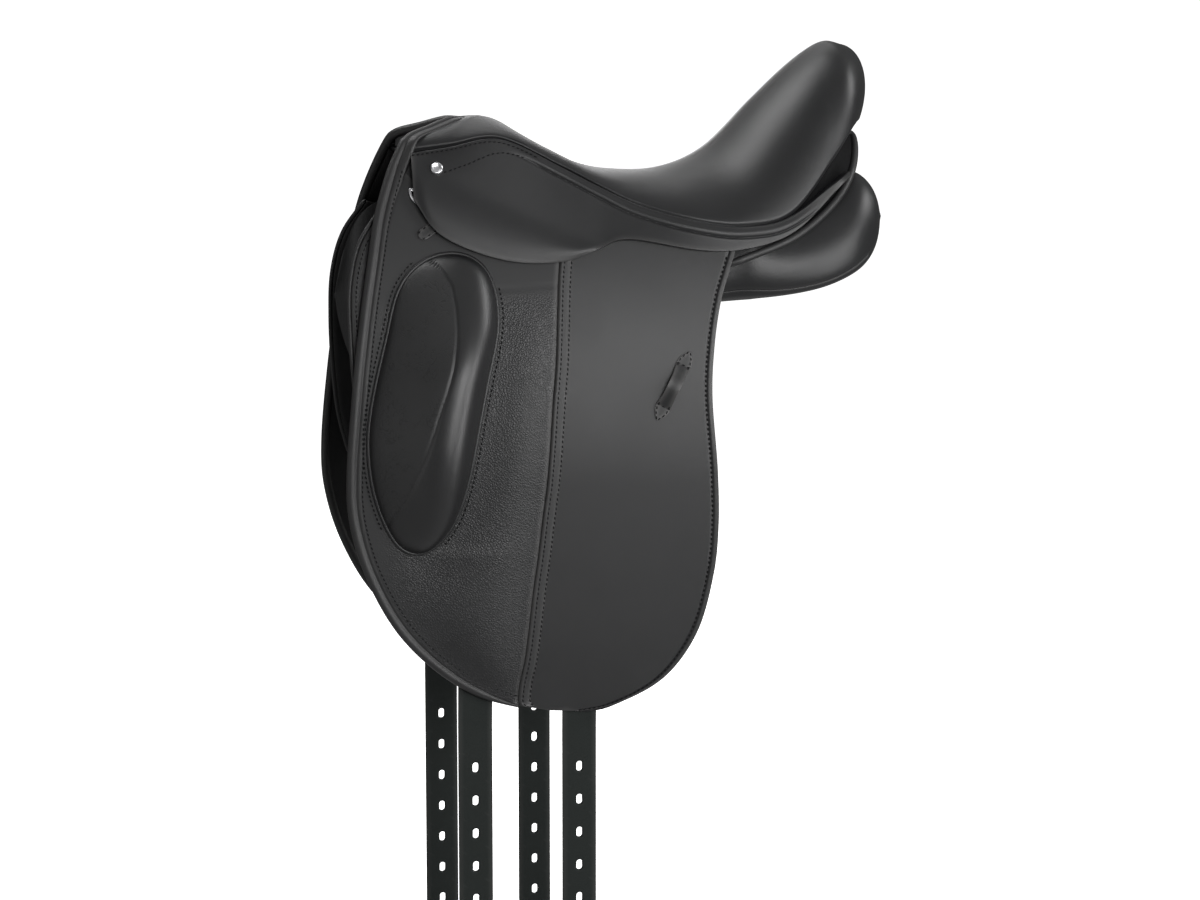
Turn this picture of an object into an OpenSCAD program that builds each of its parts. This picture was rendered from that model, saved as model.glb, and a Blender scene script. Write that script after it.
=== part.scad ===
// Dressage saddle with long straight flaps, outside knee blocks and four long girth straps.
// Millimetres. The front is -X, the left (near) side is -Y and up is +Z.
// The origin is on the centre line, at the level where the panels bear on the back.
// Every side piece is drawn on the right (+Y) and mirrored for the left.

/* [Seat] */
// Distance from the origin forward to the middle of the head
head_front = 135; // [130:1:140]
// How far the head is cut back behind its front corners
cut_back = 55; // [50:1:60]
// Height of the head above the panel bearing
head_height = 146; // [143:1:151]
// Half width of the seat at the head
head_half = 58; // [56:1:61]
// Height of the lowest point of the seat
dip_height = 94; // [91:1:99]
// Distance from the origin back to the rear of the cantle
cantle_back = 226; // [220:1:232]
// Height of the cantle crest
cantle_height = 207; // [200:1:214]
// How far the rolled back of the cantle stands past its seam
cantle_roll = 14; // [8:1:18]
// Half width of the seat at its widest place
seat_half = 112; // [108:1:115]
// Height of the seam between seat and skirts at the head
seam_head = 128; // [126:1:130]
// Lowest height of that seam
seam_low = 52; // [50:1:55]
// Height of that seam behind the cantle
seam_cantle = 150; // [145:1:153]
// Thickness of the foam in the middle of the seat
foam_t = 28; // [25:1:31]
// Thickness of the foam at the head
head_pad = 12; // [10:1:14]

/* [Leather] */
// Thickness of the seat cover
cover_t = 2.5; // [2:0.1:3]
// Thickness of the skirts
skirt_t = 3; // [2.5:0.1:3.4]
// Thickness of the flaps
flap_t = 3.2; // [2.6:0.1:3.8]
// Thickness of the inner flaps and linings
lining_t = 2.2; // [1.8:0.1:2.6]
// Thickness of the overlays that are sewn on the flaps
overlay_t = 1.8; // [1.4:0.1:2.2]
// Clearance between pieces that lie on each other
gap = 0.3; // [0.25:0.05:0.4]

/* [Tree] */
// Thickness of the laminated tree
tree_t = 12; // [10:0.5:13]
// Thickness of the steel plates and spring rails
plate_t = 3; // [2.5:0.1:3.4]
// Thickness of the webs
web_t = 2.1; // [1.6:0.1:2.4]
// Width of the girth web
web_w = 38; // [32:1:44]
// Thickness of the tree points
point_t = 6.5; // [5:0.5:7]

/* [Flaps] */
// Half width over the flaps where they hang straight
hang_half = 102; // [99:1:105]
// Height below which the flaps hang straight
hang_z = -170; // [-185:1:-155]
// Half width over the flaps, carried up along their lean to the height of the head
flap_top_half = 36; // [33:1:39]
// How far the flaps tuck in at the bottom
tuck_in = 3; // [0:0.5:5]
// Sideways flare of the flaps for each millimetre towards the rear
flare = 0.13; // [0.11:0.005:0.15]
// Distance from the origin forward to the front edge of the flap
flap_front = 250; // [244:1:256]
// Distance from the origin down to the lowest point of the flap
flap_drop = 372; // [355:1:390]
// Width of the strip over the flap seam
strip_w = 9; // [7:0.5:12]
// Radius of the binding on the front edge
binding_r = 3; // [2.4:0.1:3.4]
// Radius of the piping on the inner flap
piping_r = 1.7; // [1.4:0.1:2]

/* [Skirts] */
// Lowest height of the skirt
skirt_low = 22; // [19:1:26]
// Room between the skirt and the flap at the front edge
skirt_room_front = 10; // [9:0.5:12]
// Room between the skirt and the flap behind the stirrup bar
skirt_room_rear = 5; // [4:0.5:7]
// How far the skirts fall away from the seat's seam at the rear
skirt_fall = 40; // [37:0.5:43]
// Outward bulge of the free part of the skirt
skirt_bulge = 3; // [1:0.5:5]

/* [Knee blocks] */
// Height of the top of the block
block_top = 33; // [28:1:35]
// Height of the bottom of the block
block_bottom = -228; // [-240:1:-215]
// Half width of the block
block_half = 47; // [43:1:50]
// How far the block stands out from the flap
block_h = 44; // [34:1:52]
// Thickness of the inlay on the block
inlay_t = 1.2; // [1:0.1:1.6]

/* [Panels] */
// Half width of the gullet between the panels
gullet_half = 31; // [28:1:34]
// Depth of the panel below the flap's front edge height
panel_front_drop = 95; // [85:1:104]
// Distance from the origin back to the rear of the panels
panel_back = 228; // [222:1:231]
// Radius of the welt along the rear panel
welt_r = 2.8; // [2.2:0.1:3.2]

/* [Girth straps] */
// Width of a strap
strap_w = 30; // [26:1:32]
// Thickness of a strap
strap_t = 4; // [3.2:0.1:4.2]
// Distance from the origin forward to the middle of the front strap
strap_front = 144.5; // [138:0.5:148]
// Distance between the middles of the two straps
strap_pitch = 91; // [86:0.5:95]
// Length of the free strap end below its bend
strap_end = 262; // [250:1:290]
// Number of holes in a strap
holes = 8; // [4:1:8]
// Distance between the holes
hole_pitch = 30; // [24:1:32]
// Width of a hole
hole_w = 5.5; // [5:0.1:6]
// Length of a hole
hole_l = 9.5; // [8:0.5:11]
// Distance from the bend down to the first hole
first_hole = 35.5; // [32:0.5:40]

/* [Stirrup bars] */
// Length of the bar
bar_l = 50; // [44:1:54]
// Thickness of the bar
bar_t = 6; // [5.4:0.1:6.4]
// Height of the bar
bar_h = 9; // [8:0.5:10]
// Room for the stirrup leather behind the bar
bar_room = 8; // [6:0.5:8.5]
// Height of the plate that carries the bar
bar_plate_h = 24; // [20:1:26]
// Length of the thumb of the catch
catch_l = 18; // [14:1:20]
// Thickness of the tongue of the catch
tongue_t = 2.4; // [2:0.1:2.8]
// Radius of the catch pin
pin_r = 1.5; // [1.2:0.1:1.8]
// Radius of a bar rivet
rivet_r = 2.5; // [2:0.1:3]

/* [Fittings] */
// Radius of a head nail
nail_r = 5.4; // [4.5:0.1:6]
// Mean radius of a dee
dee_r = 13.5; // [12:0.5:15]
// Radius of the dee's wire
wire_r = 1.75; // [1.5:0.05:2]
// Width of a dee's chape
chape_w = 13; // [10:0.5:16]
// Length of a keeper
keeper_l = 66; // [58:1:74]
// Width of a keeper
keeper_w = 13; // [10:0.5:16]
// Room under a keeper
keeper_room = 8; // [6:0.5:10]

/* [Hidden] */
black_leather = [0.09, 0.09, 0.1];
grained_leather = [0.13, 0.13, 0.14];
steel = [0.72, 0.73, 0.75];
wood = [0.66, 0.5, 0.32];
webbing = [0.75, 0.72, 0.62];
foam_colour = [0.85, 0.82, 0.7];

// Plain helpers
function sq(v) = v * v;
function mix(a, b, t) = a + (b - a) * t;
function unit(v) = v / norm(v);
function ramp(a, b, v) = let (t = min(1, max(0, (v - a) / (b - a)))) t * t * (3 - 2 * t);
function steps(n) = [for (i = [0:n]) i / n];
function reversed(p) = [for (i = [len(p) - 1:-1:0]) p[i]];
function bezier(a, b, c, d, t) =
    a * pow(1 - t, 3) + b * 3 * t * sq(1 - t) + c * 3 * sq(t) * (1 - t) + d * pow(t, 3);

// Smooth curve through points, with t from 0 to 1; tail is the point that would follow the last
function spline(p, t, tail = undef) =
    let (n = len(p) - 1)
    let (i = min(n - 1, floor(t * n)))
    let (s = t * n - i)
    let (b = p[i])
    let (c = p[i + 1])
    let (a = i > 0 ? p[i - 1] : 2 * b - c)
    let (d = i < n - 1 ? p[i + 2] : is_undef(tail) ? 2 * c - b : tail)
    b + (c - a) * s / 2 + (a - 2.5 * b + 2 * c - d / 2) * s * s
        + (1.5 * b - a / 2 - 1.5 * c + d / 2) * s * s * s;

// Smooth closed curve through points
function ring_spline(p, t) =
    let (n = len(p))
    let (i = floor(t * n) % n)
    let (s = t * n - floor(t * n))
    let (a = p[(i + n - 1) % n])
    let (b = p[i])
    let (c = p[(i + 1) % n])
    let (d = p[(i + 2) % n])
    b + (c - a) * s / 2 + (a - 2.5 * b + 2 * c - d / 2) * s * s
        + (1.5 * b - a / 2 - 1.5 * c + d / 2) * s * s * s;

// Smooth value at x through [x, value] pairs
function pair_slope(p, i) =
    let (a = max(0, i - 1))
    let (b = min(len(p) - 1, i + 1))
    (p[b][1] - p[a][1]) / (p[b][0] - p[a][0]);
function pair_index(p, x, i = 0) = i >= len(p) - 2 || x <= p[i + 1][0] ? i : pair_index(p, x, i + 1);
function profile(p, x) =
    let (i = pair_index(p, x))
    let (h = p[i + 1][0] - p[i][0])
    let (s = min(1, max(0, (x - p[i][0]) / h)))
    let (a = pair_slope(p, i) * h)
    let (b = pair_slope(p, i + 1) * h)
    let (rise = p[i + 1][1] - p[i][1])
    p[i][1] + a * s + (3 * rise - 2 * a - b) * s * s + (a + b - 2 * rise) * s * s * s;

// Solid through rings of equally many points; point j and its partner from the end close the two ends
module skin(rings, closed = false) {
    n = len(rings);
    m = len(rings[0]);
    last = (n - 1) * m;
    sides = [for (i = [0:closed ? n - 1 : n - 2]) for (j = [0:m - 1])
        let (a = i * m)
        let (b = (i + 1) % n * m)
        let (k = (j + 1) % m)
        each [[a + j, a + k, b + k], [a + j, b + k, b + j]]];
    ends = closed ? [] : [for (j = [0:m / 2 - 2])
        let (p = m - 1 - j)
        each [[j, p - 1, j + 1], [j, p, p - 1],
            [last + j, last + j + 1, last + p - 1], [last + j, last + p - 1, last + p]]];
    points = [for (r = rings) each r];
    faces = concat(sides, ends);
    sixfold_volume = [for (f = faces) points[f[0]] * cross(points[f[1]],
        points[f[2]])] * [for (f = faces) 1];
    polyhedron(points, sixfold_volume < 0 ? faces : [for (f = faces) reversed(f)]);
}

// Sheet between two grids of rows
module sheet(outer, inner) {
    skin([for (i = [0:len(outer) - 1]) concat(outer[i], reversed(inner[i]))]);
}

// Round cord of radius r along a path
module tube(path, r, sides = 6) {
    n = len(path) - 1;
    skin([for (i = [0:n])
        let (along = unit(path[min(n, i + 1)] - path[max(0, i - 1)]))
        let (side = unit(cross(along, abs(along[2]) > 0.8 ? [0, 1, 0] : [0, 0, 1])))
        let (up = cross(side, along))
        [for (k = [0:sides - 1]) path[i] + r * (cos(360 * k / sides) * side + sin(360 * k / sides) * up)]]);
}

module left() {
    mirror([0, 1, 0]) children();
}

module both_sides() {
    children();
    left() children();
}

// Height over the bearing level to which the flap's lean is measured
lean_top = 127;
// How far the flaps draw in between the hanging part and that height
draw_in = hang_half - flap_top_half;
// Flap's outer face: half width at a place given by x and z
function flap_y(x, z) =
    hang_half + flare * (x + 250)
    - draw_in * sq(max(0, z - hang_z) / (lean_top - hang_z))
    - tuck_in * sq(max(0, hang_z - z) / (hang_z + 372));
function on_flap(x, z, out) = [x, flap_y(x, z) + out, z];
function flap_lean(z) = atan(2 * draw_in * max(0, z - hang_z) / sq(lean_top - hang_z));
flap_turn = atan(flare);

// Layers inside the flap, measured in from its outer face
strap_out = flap_t + 2.4;
inner_out = strap_out + strap_t + 0.6;
panel_out = inner_out + lining_t + gap;

// Seat: rows from the seam to the ridge, numbered from the front to the rear
function seat_x(f) = mix(-head_front, cantle_back - 3, f);
function front_z(f) = mix(dip_height, head_height, f);
function rear_z(f) = mix(dip_height, cantle_height, f);
function seam_w(f) = mix(head_half, seat_half, f);
function seam_front_z(f) = mix(seam_low, seam_head, f);
function seam_rear_z(f) = mix(seam_low, seam_cantle, f);
slit = 0.15;
// How far the seam lies behind the ridge for each millimetre of its half width
seam_lag = 0.12;
function seam_at(f, w, z) = [seat_x(f) + seam_lag * w, w, z];
SEAM = [
    [-head_front - cut_back, head_half - 6, seam_head - 12],
    seam_at(-0.08, head_half, seam_head - 7),
    seam_at(0.04, seam_w(0.1), seam_head),
    seam_at(0.18, seam_w(0.27), seam_front_z(0.68)),
    seam_at(0.27, seam_w(0.45), seam_front_z(0.45)),
    seam_at(0.36, seam_w(0.64), seam_front_z(0.24)),
    seam_at(0.49, seam_w(0.92), seam_front_z(0.06)),
    seam_at(0.61, seat_half, seam_low),
    seam_at(0.73, seat_half * 0.95, seam_rear_z(0.1)),
    seam_at(0.85, seat_half * 0.79, seam_rear_z(0.55)),
    seam_at(0.935, seat_half * 0.56, seam_rear_z(0.93)),
    [seat_x(1), slit, seam_cantle]];
seam_tail = [SEAM[10][0], -SEAM[10][1], SEAM[10][2]];
RIDGE = [
    [-head_front, 0, head_height],
    [seat_x(0.04), 0, front_z(0.97)],
    [seat_x(0.09), 0, front_z(0.86)],
    [seat_x(0.18), 0, front_z(0.47)],
    [seat_x(0.27), 0, front_z(0.17)],
    [seat_x(0.36), 0, front_z(0.03)],
    [seat_x(0.49), 0, rear_z(0.02)],
    [seat_x(0.61), 0, rear_z(0.18)],
    [seat_x(0.73), 0, rear_z(0.55)],
    [seat_x(0.83), 0, rear_z(0.84)],
    [seat_x(0.91), 0, rear_z(0.985)],
    [seat_x(0.965), 0, cantle_height]];
seat_rows = len(SEAM) - 1;
function seam(u) = spline(SEAM, u, seam_tail);
function ridge(u) = spline(RIDGE, u);
function seam_out(u) =
    let (d = spline(SEAM, min(1, u + 0.01), seam_tail) - spline(SEAM, max(0, u - 0.01), seam_tail))
    u > 0.995 ? [1, 0, 0] : unit([-d[1], d[0], 0]);
crown = 0.55;
flatness = 0.55;
function seat_at(u, v) =
    let (s = seam(u))
    let (r = ridge(u))
    let (roll = seam_out(u) * cantle_roll * ramp(0.62, 1, u))
    let (b = s + [0, 0, crown * (r[2] - s[2])] + roll)
    let (flat = flatness + 0.15 * ramp(0.6, 0.9, u))
    let (c = [mix(r[0], s[0], flat), mix(r[1], s[1], flat), r[2]] + roll)
    bezier(s, b, c, r, v);
function seat_normal(u, v) =
    let (e = 0.004)
    let (along_u = seat_at(min(1, u + e), v) - seat_at(max(0, u - e), v))
    let (along_v = seat_at(u, min(1, v + e)) - seat_at(u, max(0, v - e)))
    let (n = unit(cross(along_v, along_u)))
    v > 0.999 || u > 0.999 ? unit([n[0], 0, n[2]]) : n;
function seat_inside(u, v, depth) = seat_at(u, v) - depth * seat_normal(u, v);
// Underside of the foam, where the webs and the tree lie
foam_edge = 7;
function base_at(u, v) =
    let (r = ridge(u))
    let (back = ramp(0.72, 1, u))
    let (s = seam(u) - seam_out(u) * foam_edge * ramp(0, 0.08, u) - [0, 0, 6])
    let (thick = mix(head_pad, foam_t, ramp(0, 0.3, u)))
    let (c = [r[0] - 26 * back, 0, r[2] - thick - 16 * back])
    mix(s, c, v);
function base_below(u, v, depth) = base_at(u, v) - [0, 0, depth];
function other_side(p) = [p[0], -p[1], p[2]];
// Full row from the right seam over the ridge to the left seam
function full_row(half) = concat(half, [for (i = [len(half) - 2:-1:0]) other_side(half[i])]);

SEAT_ROWS = steps(26);
SEAT_COLUMNS = steps(7);
module seat_cover() {
    color(black_leather) sheet(
        [for (u = SEAT_ROWS) full_row([for (v = SEAT_COLUMNS) seat_at(u, v)])],
        [for (u = SEAT_ROWS) full_row([for (v = SEAT_COLUMNS) seat_inside(u, v, cover_t)])]);
}

module seat_foam() {
    first = 0.07;
    front = 0.008;
    depth = cover_t + 3 * gap;
    color(foam_colour) sheet(
        [for (u = SEAT_ROWS) full_row([for (v = SEAT_COLUMNS) seat_inside(max(u, front), max(v, first),
            depth)])],
        [for (u = SEAT_ROWS) full_row([for (v = SEAT_COLUMNS) base_at(max(u, front), v)])]);
}

// Tree: a closed loop of rails, head and cantle under the webs
web_gap = 3.5 * gap;
tree_depth = 2 * web_t + 3 * web_gap;
function tree_place(turn, e) =
    let (w = (0.52 + 0.2 * e) * sign(sin(turn)) * pow(abs(sin(turn)), 0.75))
    let (u = 0.48 - (0.385 + 0.05 * e) * cos(turn))
    [u, w];
function tree_point_at(turn, e, depth) =
    let (p = tree_place(turn, e))
    let (q = base_below(p[0], 1 - abs(p[1]), depth))
    p[1] < 0 ? other_side(q) : q;
function tree_section(turn, across, top, bottom) = concat(
    [for (e = across) tree_point_at(turn, e, top)],
    [for (e = reversed(across)) tree_point_at(turn, e, bottom)]);
tree_step = 8;
plate_half = 0.6;
plate_top = tree_depth + tree_t + 4 * gap;
plate_bottom = plate_top + plate_t;

module tree() {
    across = [-1, -plate_half, 0, plate_half, 1];
    color(wood) skin([for (turn = [0:tree_step:359])
        tree_section(turn, across, tree_depth, tree_depth + tree_t)], true);
}

module tree_plate(from, to) {
    across = [-plate_half, 0, plate_half];
    color(steel) skin([for (turn = [from:tree_step:to]) tree_section(turn, across, plate_top,
        plate_bottom)]);
}

module gullet_plate() {
    tree_plate(-7 * tree_step, 7 * tree_step);
}

module cantle_plate() {
    tree_plate(16 * tree_step, 29 * tree_step);
}

module spring_rail() {
    tree_plate(8 * tree_step, 15 * tree_step);
}

// Tree point: the leg that carries the stirrup bar, inside the flap
point_in = 15;
point_x = [-170, -110];
point_z = [42, 88];
module tree_point() {
    rows = steps(6);
    cols = steps(5);
    function place(s, t, out) =
        let (round_end = 14 * sq(2 * s - 1) * sq(1 - t))
        on_flap(mix(point_x[0], point_x[1], s), mix(point_z[0] + round_end, point_z[1], t), out);
    color(wood) sheet(
        [for (t = rows) [for (s = cols) place(s, t, -point_in)]],
        [for (t = rows) [for (s = cols) place(s, t, -point_in - point_t)]]);
}

module seat_web() {
    rows = [for (i = [4:22]) SEAT_ROWS[i]];
    cols = [for (i = [4:7]) SEAT_COLUMNS[i]];
    color(webbing) sheet(
        [for (u = rows) full_row([for (v = cols) base_below(u, v, web_gap)])],
        [for (u = rows) full_row([for (v = cols) base_below(u, v, web_gap + web_t)])]);
}

// Girth web: goes over the tree and down to the tops of the two rear straps
strap_rear = strap_front - strap_pitch;
web_u = 0.288;
strap_top = 44;
module girth_web() {
    over = web_t + 2 * web_gap;
    share = web_w / (seam(web_u + 0.5 / seat_rows)[0] - seam(web_u - 0.5 / seat_rows)[0]) / seat_rows;
    function hang(x, z) = [x, flap_y(x, z) - strap_out - 0.5, z];
    function path(s) =
        let (u = web_u + s * share)
        let (x = -strap_rear + s * web_w)
        [base_below(u, 1, over), base_below(u, 0.55, over), base_below(u, 0.12, over),
            hang(x, strap_top + 34), hang(x, strap_top + 18), hang(x, strap_top + 1.2)];
    function place(t, s, inset) =
        let (route = path(s))
        let (p = spline(route, t))
        let (d = spline(route, min(1, t + 0.01)) - spline(route, max(0, t - 0.01)))
        let (n = t < 0.001 ? [0, 0, -1] : unit([0, d[2], -d[1]]))
        p + n * inset;
    rows = reversed(steps(16));
    half_out = [for (t = rows) [for (s = [-0.5, 0, 0.5]) place(t, s, 0)]];
    half_in = [for (t = rows) [for (s = [-0.5, 0, 0.5]) place(t, s, web_t)]];
    function mirrored(rows) = [for (i = [len(rows) - 2:-1:0]) [for (p = rows[i]) other_side(p)]];
    color(webbing) sheet(concat(half_out, mirrored(half_out)), concat(half_in, mirrored(half_in)));
}

// Facing: closes the front of the head under the edge of the seat cover
facing_drop = head_pad + tree_depth + tree_t + plate_t + 1;
module head_facing() {
    start = cover_t / 2 + binding_r + 2 * gap;
    function front(v, ahead, s) =
        let (p = seat_at(0, v))
        let (q = seat_at(0, min(1, v + 0.02)) - seat_at(0, max(0, v - 0.02)))
        let (n = v > 0.999 ? [-1, 0, 0] : unit([-abs(q[1]), -abs(q[0]), 0]))
        p + ahead * n - [0, 0, mix(start, facing_drop * mix(0.72, 1, v), s)];
    cols = [for (v = steps(8)) mix(0.28, 1, v)];
    rows = steps(2);
    color(black_leather) sheet(
        [for (s = rows) full_row([for (v = cols) front(v, 4 * gap + lining_t, s)])],
        [for (s = rows) full_row([for (v = cols) front(v, 4 * gap, s)])]);
}

// Skirts: a sewn band below the seat and, at the front, a free part that lifts along a straight line
function room(f) = skirt_t + mix(skirt_room_front, skirt_room_rear, f);
function skirt_flap(x, z, f) = on_flap(x, z, room(f));
skirt_front = head_front + cut_back + 3;
EDGE = [
    skirt_flap(-skirt_front, 76, 0),
    skirt_flap(-172, skirt_low + 23, 0.2),
    skirt_flap(-118, skirt_low + 3, 0.6),
    skirt_flap(-68, skirt_low, 0.9),
    skirt_flap(-32, skirt_low + 9, 1),
    skirt_flap(7, skirt_low + 18, 1),
    skirt_flap(57, skirt_low + 10, 1),
    [SEAM[7][0], max(seat_half + 7, flap_y(SEAM[7][0], skirt_low + 11) + skirt_t + gap), skirt_low + 11],
    [SEAM[8][0] + 2, SEAM[8][1] + 6, skirt_low + 25],
    [SEAM[9][0] + 4, SEAM[9][1] + 4, SEAM[9][2] - skirt_fall / 2 - 4],
    [SEAM[10][0] + 4, SEAM[10][1] + 2, SEAM[10][2] - skirt_fall - 5]];
notch = 4 / seat_rows;
skirt_end = 9.5 / seat_rows;
function skirt_edge(u) = spline(EDGE, u * seat_rows / (len(EDGE) - 1));
function skirt_top(u) =
    seam(u) + seam_out(u) * (skirt_t + 0.5) - [0, 0, 1 + skirt_fall * ramp(7.8 / seat_rows,
        10.3 / seat_rows, u)];
fold_front = mix(skirt_top(0), EDGE[0], 0.3) + [0, skirt_bulge + 1, 0];
fold_rear = EDGE[4];
function fold(u) =
    let (s = (skirt_edge(u)[0] - fold_front[0]) / (fold_rear[0] - fold_front[0]))
    mix(fold_front, fold_rear, s);
// Clear distance between the sewn band and the free part along the fold
fold_gap = 0.5;
function skirt_low_at(u) = u < notch ? fold(u) + unit(skirt_top(u) - fold(u)) * fold_gap : skirt_edge(u);
function skirt_band(u, s) = mix(skirt_top(u), skirt_low_at(u), s);
module skirt() {
    rows = concat([for (t = steps(10)) notch * t], [for (i = [1:20]) mix(notch, skirt_end, i / 20)]);
    cols = steps(3);
    color(black_leather) sheet(
        [for (u = rows) [for (s = cols) skirt_band(u, s)]],
        [for (u = rows) [for (s = cols) skirt_band(u, s) - seam_out(u) * skirt_t]]);
}

module skirt_lift_part() {
    rows = [for (t = steps(14)) notch * 0.965 * t];
    cols = steps(4);
    function place(u, s, depth) =
        mix(fold(u), skirt_edge(u), s) + seam_out(u) * (4 * s * (1 - s) * skirt_bulge * ramp(0, 0.05,
            u) - depth);
    color(black_leather) sheet(
        [for (u = rows) [for (s = cols) place(u, s, 0)]],
        [for (u = rows) [for (s = cols) place(u, s, skirt_t)]]);
}

// Head nails: dished buttons on the sewn band of the skirts
nail_u = 0.95 / seat_rows;
nail_s = 0.72;
module head_nails() {
    along = skirt_band(nail_u + 0.01, nail_s) - skirt_band(nail_u - 0.01, nail_s);
    down = skirt_band(nail_u, nail_s + 0.1) - skirt_band(nail_u, nail_s - 0.1);
    n = unit(cross(along, down));
    color(steel) both_sides()
        translate(skirt_band(nail_u, nail_s) + n * 2 * gap) rotate([0, acos(n[2]), atan2(n[1], n[0])])
            rotate_extrude($fn = 48)
                polygon([[0, 0], [nail_r, 0], [nail_r, 1], [nail_r * 0.8, 2.6], [nail_r * 0.6, 2.2],
                    [0, 1.2]]);
}

// Stirrup bar: a plate on the tree point, an arm and a bar open to the rear, with a hinged catch
bar_x = -128;
bar_z = 65;
bar_plate_l = 46;
module at_bar() {
    translate(on_flap(bar_x, bar_z, -point_in + gap)) rotate([flap_lean(bar_z), 0, flap_turn]) children();
}
bar_near = plate_t + bar_room;
bar_low = -bar_plate_h / 2;
bar_front = -bar_plate_l / 2;
pin_x = bar_front + bar_l - 6;
pin_z = bar_low + bar_h / 2;
slot_t = tongue_t + 2 * gap;
rivet_x = [bar_front + 8, bar_plate_l / 2 - 8];
module stirrup_bar() {
    color(steel) at_bar() difference() {
        union() {
            translate([bar_front, 0, bar_low]) cube([bar_plate_l, plate_t, bar_plate_h]);
            translate([bar_front, 0, bar_low]) cube([9, bar_near + bar_t, bar_h]);
            translate([bar_front, bar_near, bar_low]) cube([bar_l, bar_t, bar_h]);
        }
        translate([pin_x - bar_h / 2 - 1, bar_near + (bar_t - slot_t) / 2, bar_low - 1])
            cube([bar_h + 20, slot_t, bar_h + 2]);
        translate([pin_x, bar_near - 1, pin_z]) rotate([-90, 0, 0]) cylinder(r = pin_r, h = bar_t + 2,
            $fn = 32);
        for (x = rivet_x)
            translate([x, -1, bar_plate_h / 4]) rotate([-90, 0, 0]) cylinder(r = rivet_r,
                h = plate_t + 2, $fn = 32);
    }
}

module bar_rivets() {
    color(steel) at_bar() for (x = rivet_x)
        translate([x, 0, bar_plate_h / 4]) rotate([-90, 0, 0]) rotate_extrude($fn = 32)
            polygon([[0, 0], [rivet_r, 0], [rivet_r, plate_t], [rivet_r * 1.7, plate_t], [rivet_r,
                plate_t + 1.4],
                [0, plate_t + 1.8]]);
}

module catch() {
    mid = bar_near + bar_t / 2;
    thumb_x = pin_x + 7.5;
    color(steel) at_bar() difference() {
        union() {
            translate([pin_x, mid - tongue_t / 2, pin_z]) rotate([-90, 0, 0])
                cylinder(r = bar_h / 2 - gap, h = tongue_t, $fn = 48);
            translate([pin_x, mid - tongue_t / 2, pin_z - bar_h / 2 + gap])
                cube([thumb_x - pin_x + 1, tongue_t, bar_h - 2 * gap]);
            translate([thumb_x, bar_near, bar_low]) cube([catch_l - 8, bar_t, bar_h]);
        }
        translate([pin_x, bar_near - 1, pin_z]) rotate([-90, 0, 0])
            cylinder(r = pin_r + 0.1, h = bar_t + 2, $fn = 32);
    }
}

module catch_pin() {
    color(steel) at_bar() translate([pin_x, bar_near, pin_z]) rotate([-90, 0, 0])
        cylinder(r = pin_r, h = bar_t, $fn = 32);
}

// Dee ring under the front of the skirt, hung in a folded chape
dee_x = -179;
dee_z = 84;
dee_stand = 3.9;
module at_dee() {
    translate(on_flap(dee_x, dee_z, dee_stand)) rotate([flap_lean(dee_z), 0, flap_turn]) children();
}

module dee() {
    color(steel) at_dee() {
        rotate([0, 90, 0]) cylinder(r = wire_r, h = 2 * dee_r, center = true, $fn = 32);
        rotate([90, 0, 0]) rotate([0, 0, 180]) rotate_extrude(angle = 180, $fn = 64)
            translate([dee_r, 0]) circle(r = wire_r, $fn = 32);
        for (s = [-1, 1]) translate([s * dee_r, 0, 0]) sphere(r = wire_r, $fn = 32);
    }
}

chape_wall = 1.2;
module dee_chape() {
    bore = wire_r + gap;
    color(black_leather) at_dee() difference() {
        union() {
            rotate([0, 90, 0]) cylinder(r = bore + chape_wall, h = chape_w, center = true, $fn = 48);
            translate([-chape_w / 2, -bore - chape_wall, 0]) cube([chape_w, 2 * chape_wall, 19]);
        }
        rotate([0, 90, 0]) cylinder(r = bore, h = chape_w + 2, center = true, $fn = 48);
    }
}

// Flap: outlines of the front and the rear edge from the top to the bottom
function fx(x) = x * flap_front / 250;
function fz(z) = z * flap_drop / 372;
FLAP_FRONT = [[fx(-191), 113], [fx(-217), 59], [fx(-229), 11], [fx(-238), fz(-43)], [fx(-244), fz(-90)],
    [fx(-250), fz(-158)], [fx(-248), fz(-202)], [fx(-234), fz(-250)], [fx(-207), fz(-299)],
    [fx(-168), fz(-337)], [fx(-122), fz(-362)], [fx(-81), fz(-371)]];
FLAP_REAR = [[90, 42], [80, 15], [71, -12], [64, fz(-50)], [61, fz(-95)], [65, fz(-158)], [66, fz(-205)],
    [62, fz(-250)], [48, fz(-302)], [20, fz(-342)], [-20, fz(-365)], [fx(-54), fz(-372)]];
FLAP_TOP = [[fx(-199), 116], [fx(-184), 101], [fx(-167), 66], [fx(-148), 49], [-110, 47], [-60, 50], [0, 49],
    [90, 42]];
function flap_place(t, s) =
    let (a = spline(FLAP_FRONT, t))
    let (b = spline(FLAP_REAR, t))
    let (p = mix(a, b, s))
    let (line = mix(FLAP_FRONT[0], FLAP_REAR[0], s))
    let (dip = (profile(FLAP_TOP, line[0]) - line[1]) * pow(1 - t, 6) * ramp(0, 0.03, s))
    [p[0], p[1] + dip];
function flap_grid(rows, starts, ends, columns, out) =
    [for (i = [0:len(rows) - 1]) [for (s = steps(columns))
        let (p = flap_place(rows[i], mix(starts[i], ends[i], s)))
        on_flap(p[0], p[1], out)]];
module flap_layer(rows, starts, ends, columns, inside, thickness) {
    sheet(flap_grid(rows, starts, ends, columns, inside + thickness), flap_grid(rows, starts, ends,
        columns, inside));
}

module flap() {
    rows = steps(22);
    color(black_leather)
        flap_layer(rows, [for (t = rows) 0], [for (t = rows) 1], 8, -flap_t, flap_t);
}

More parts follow.
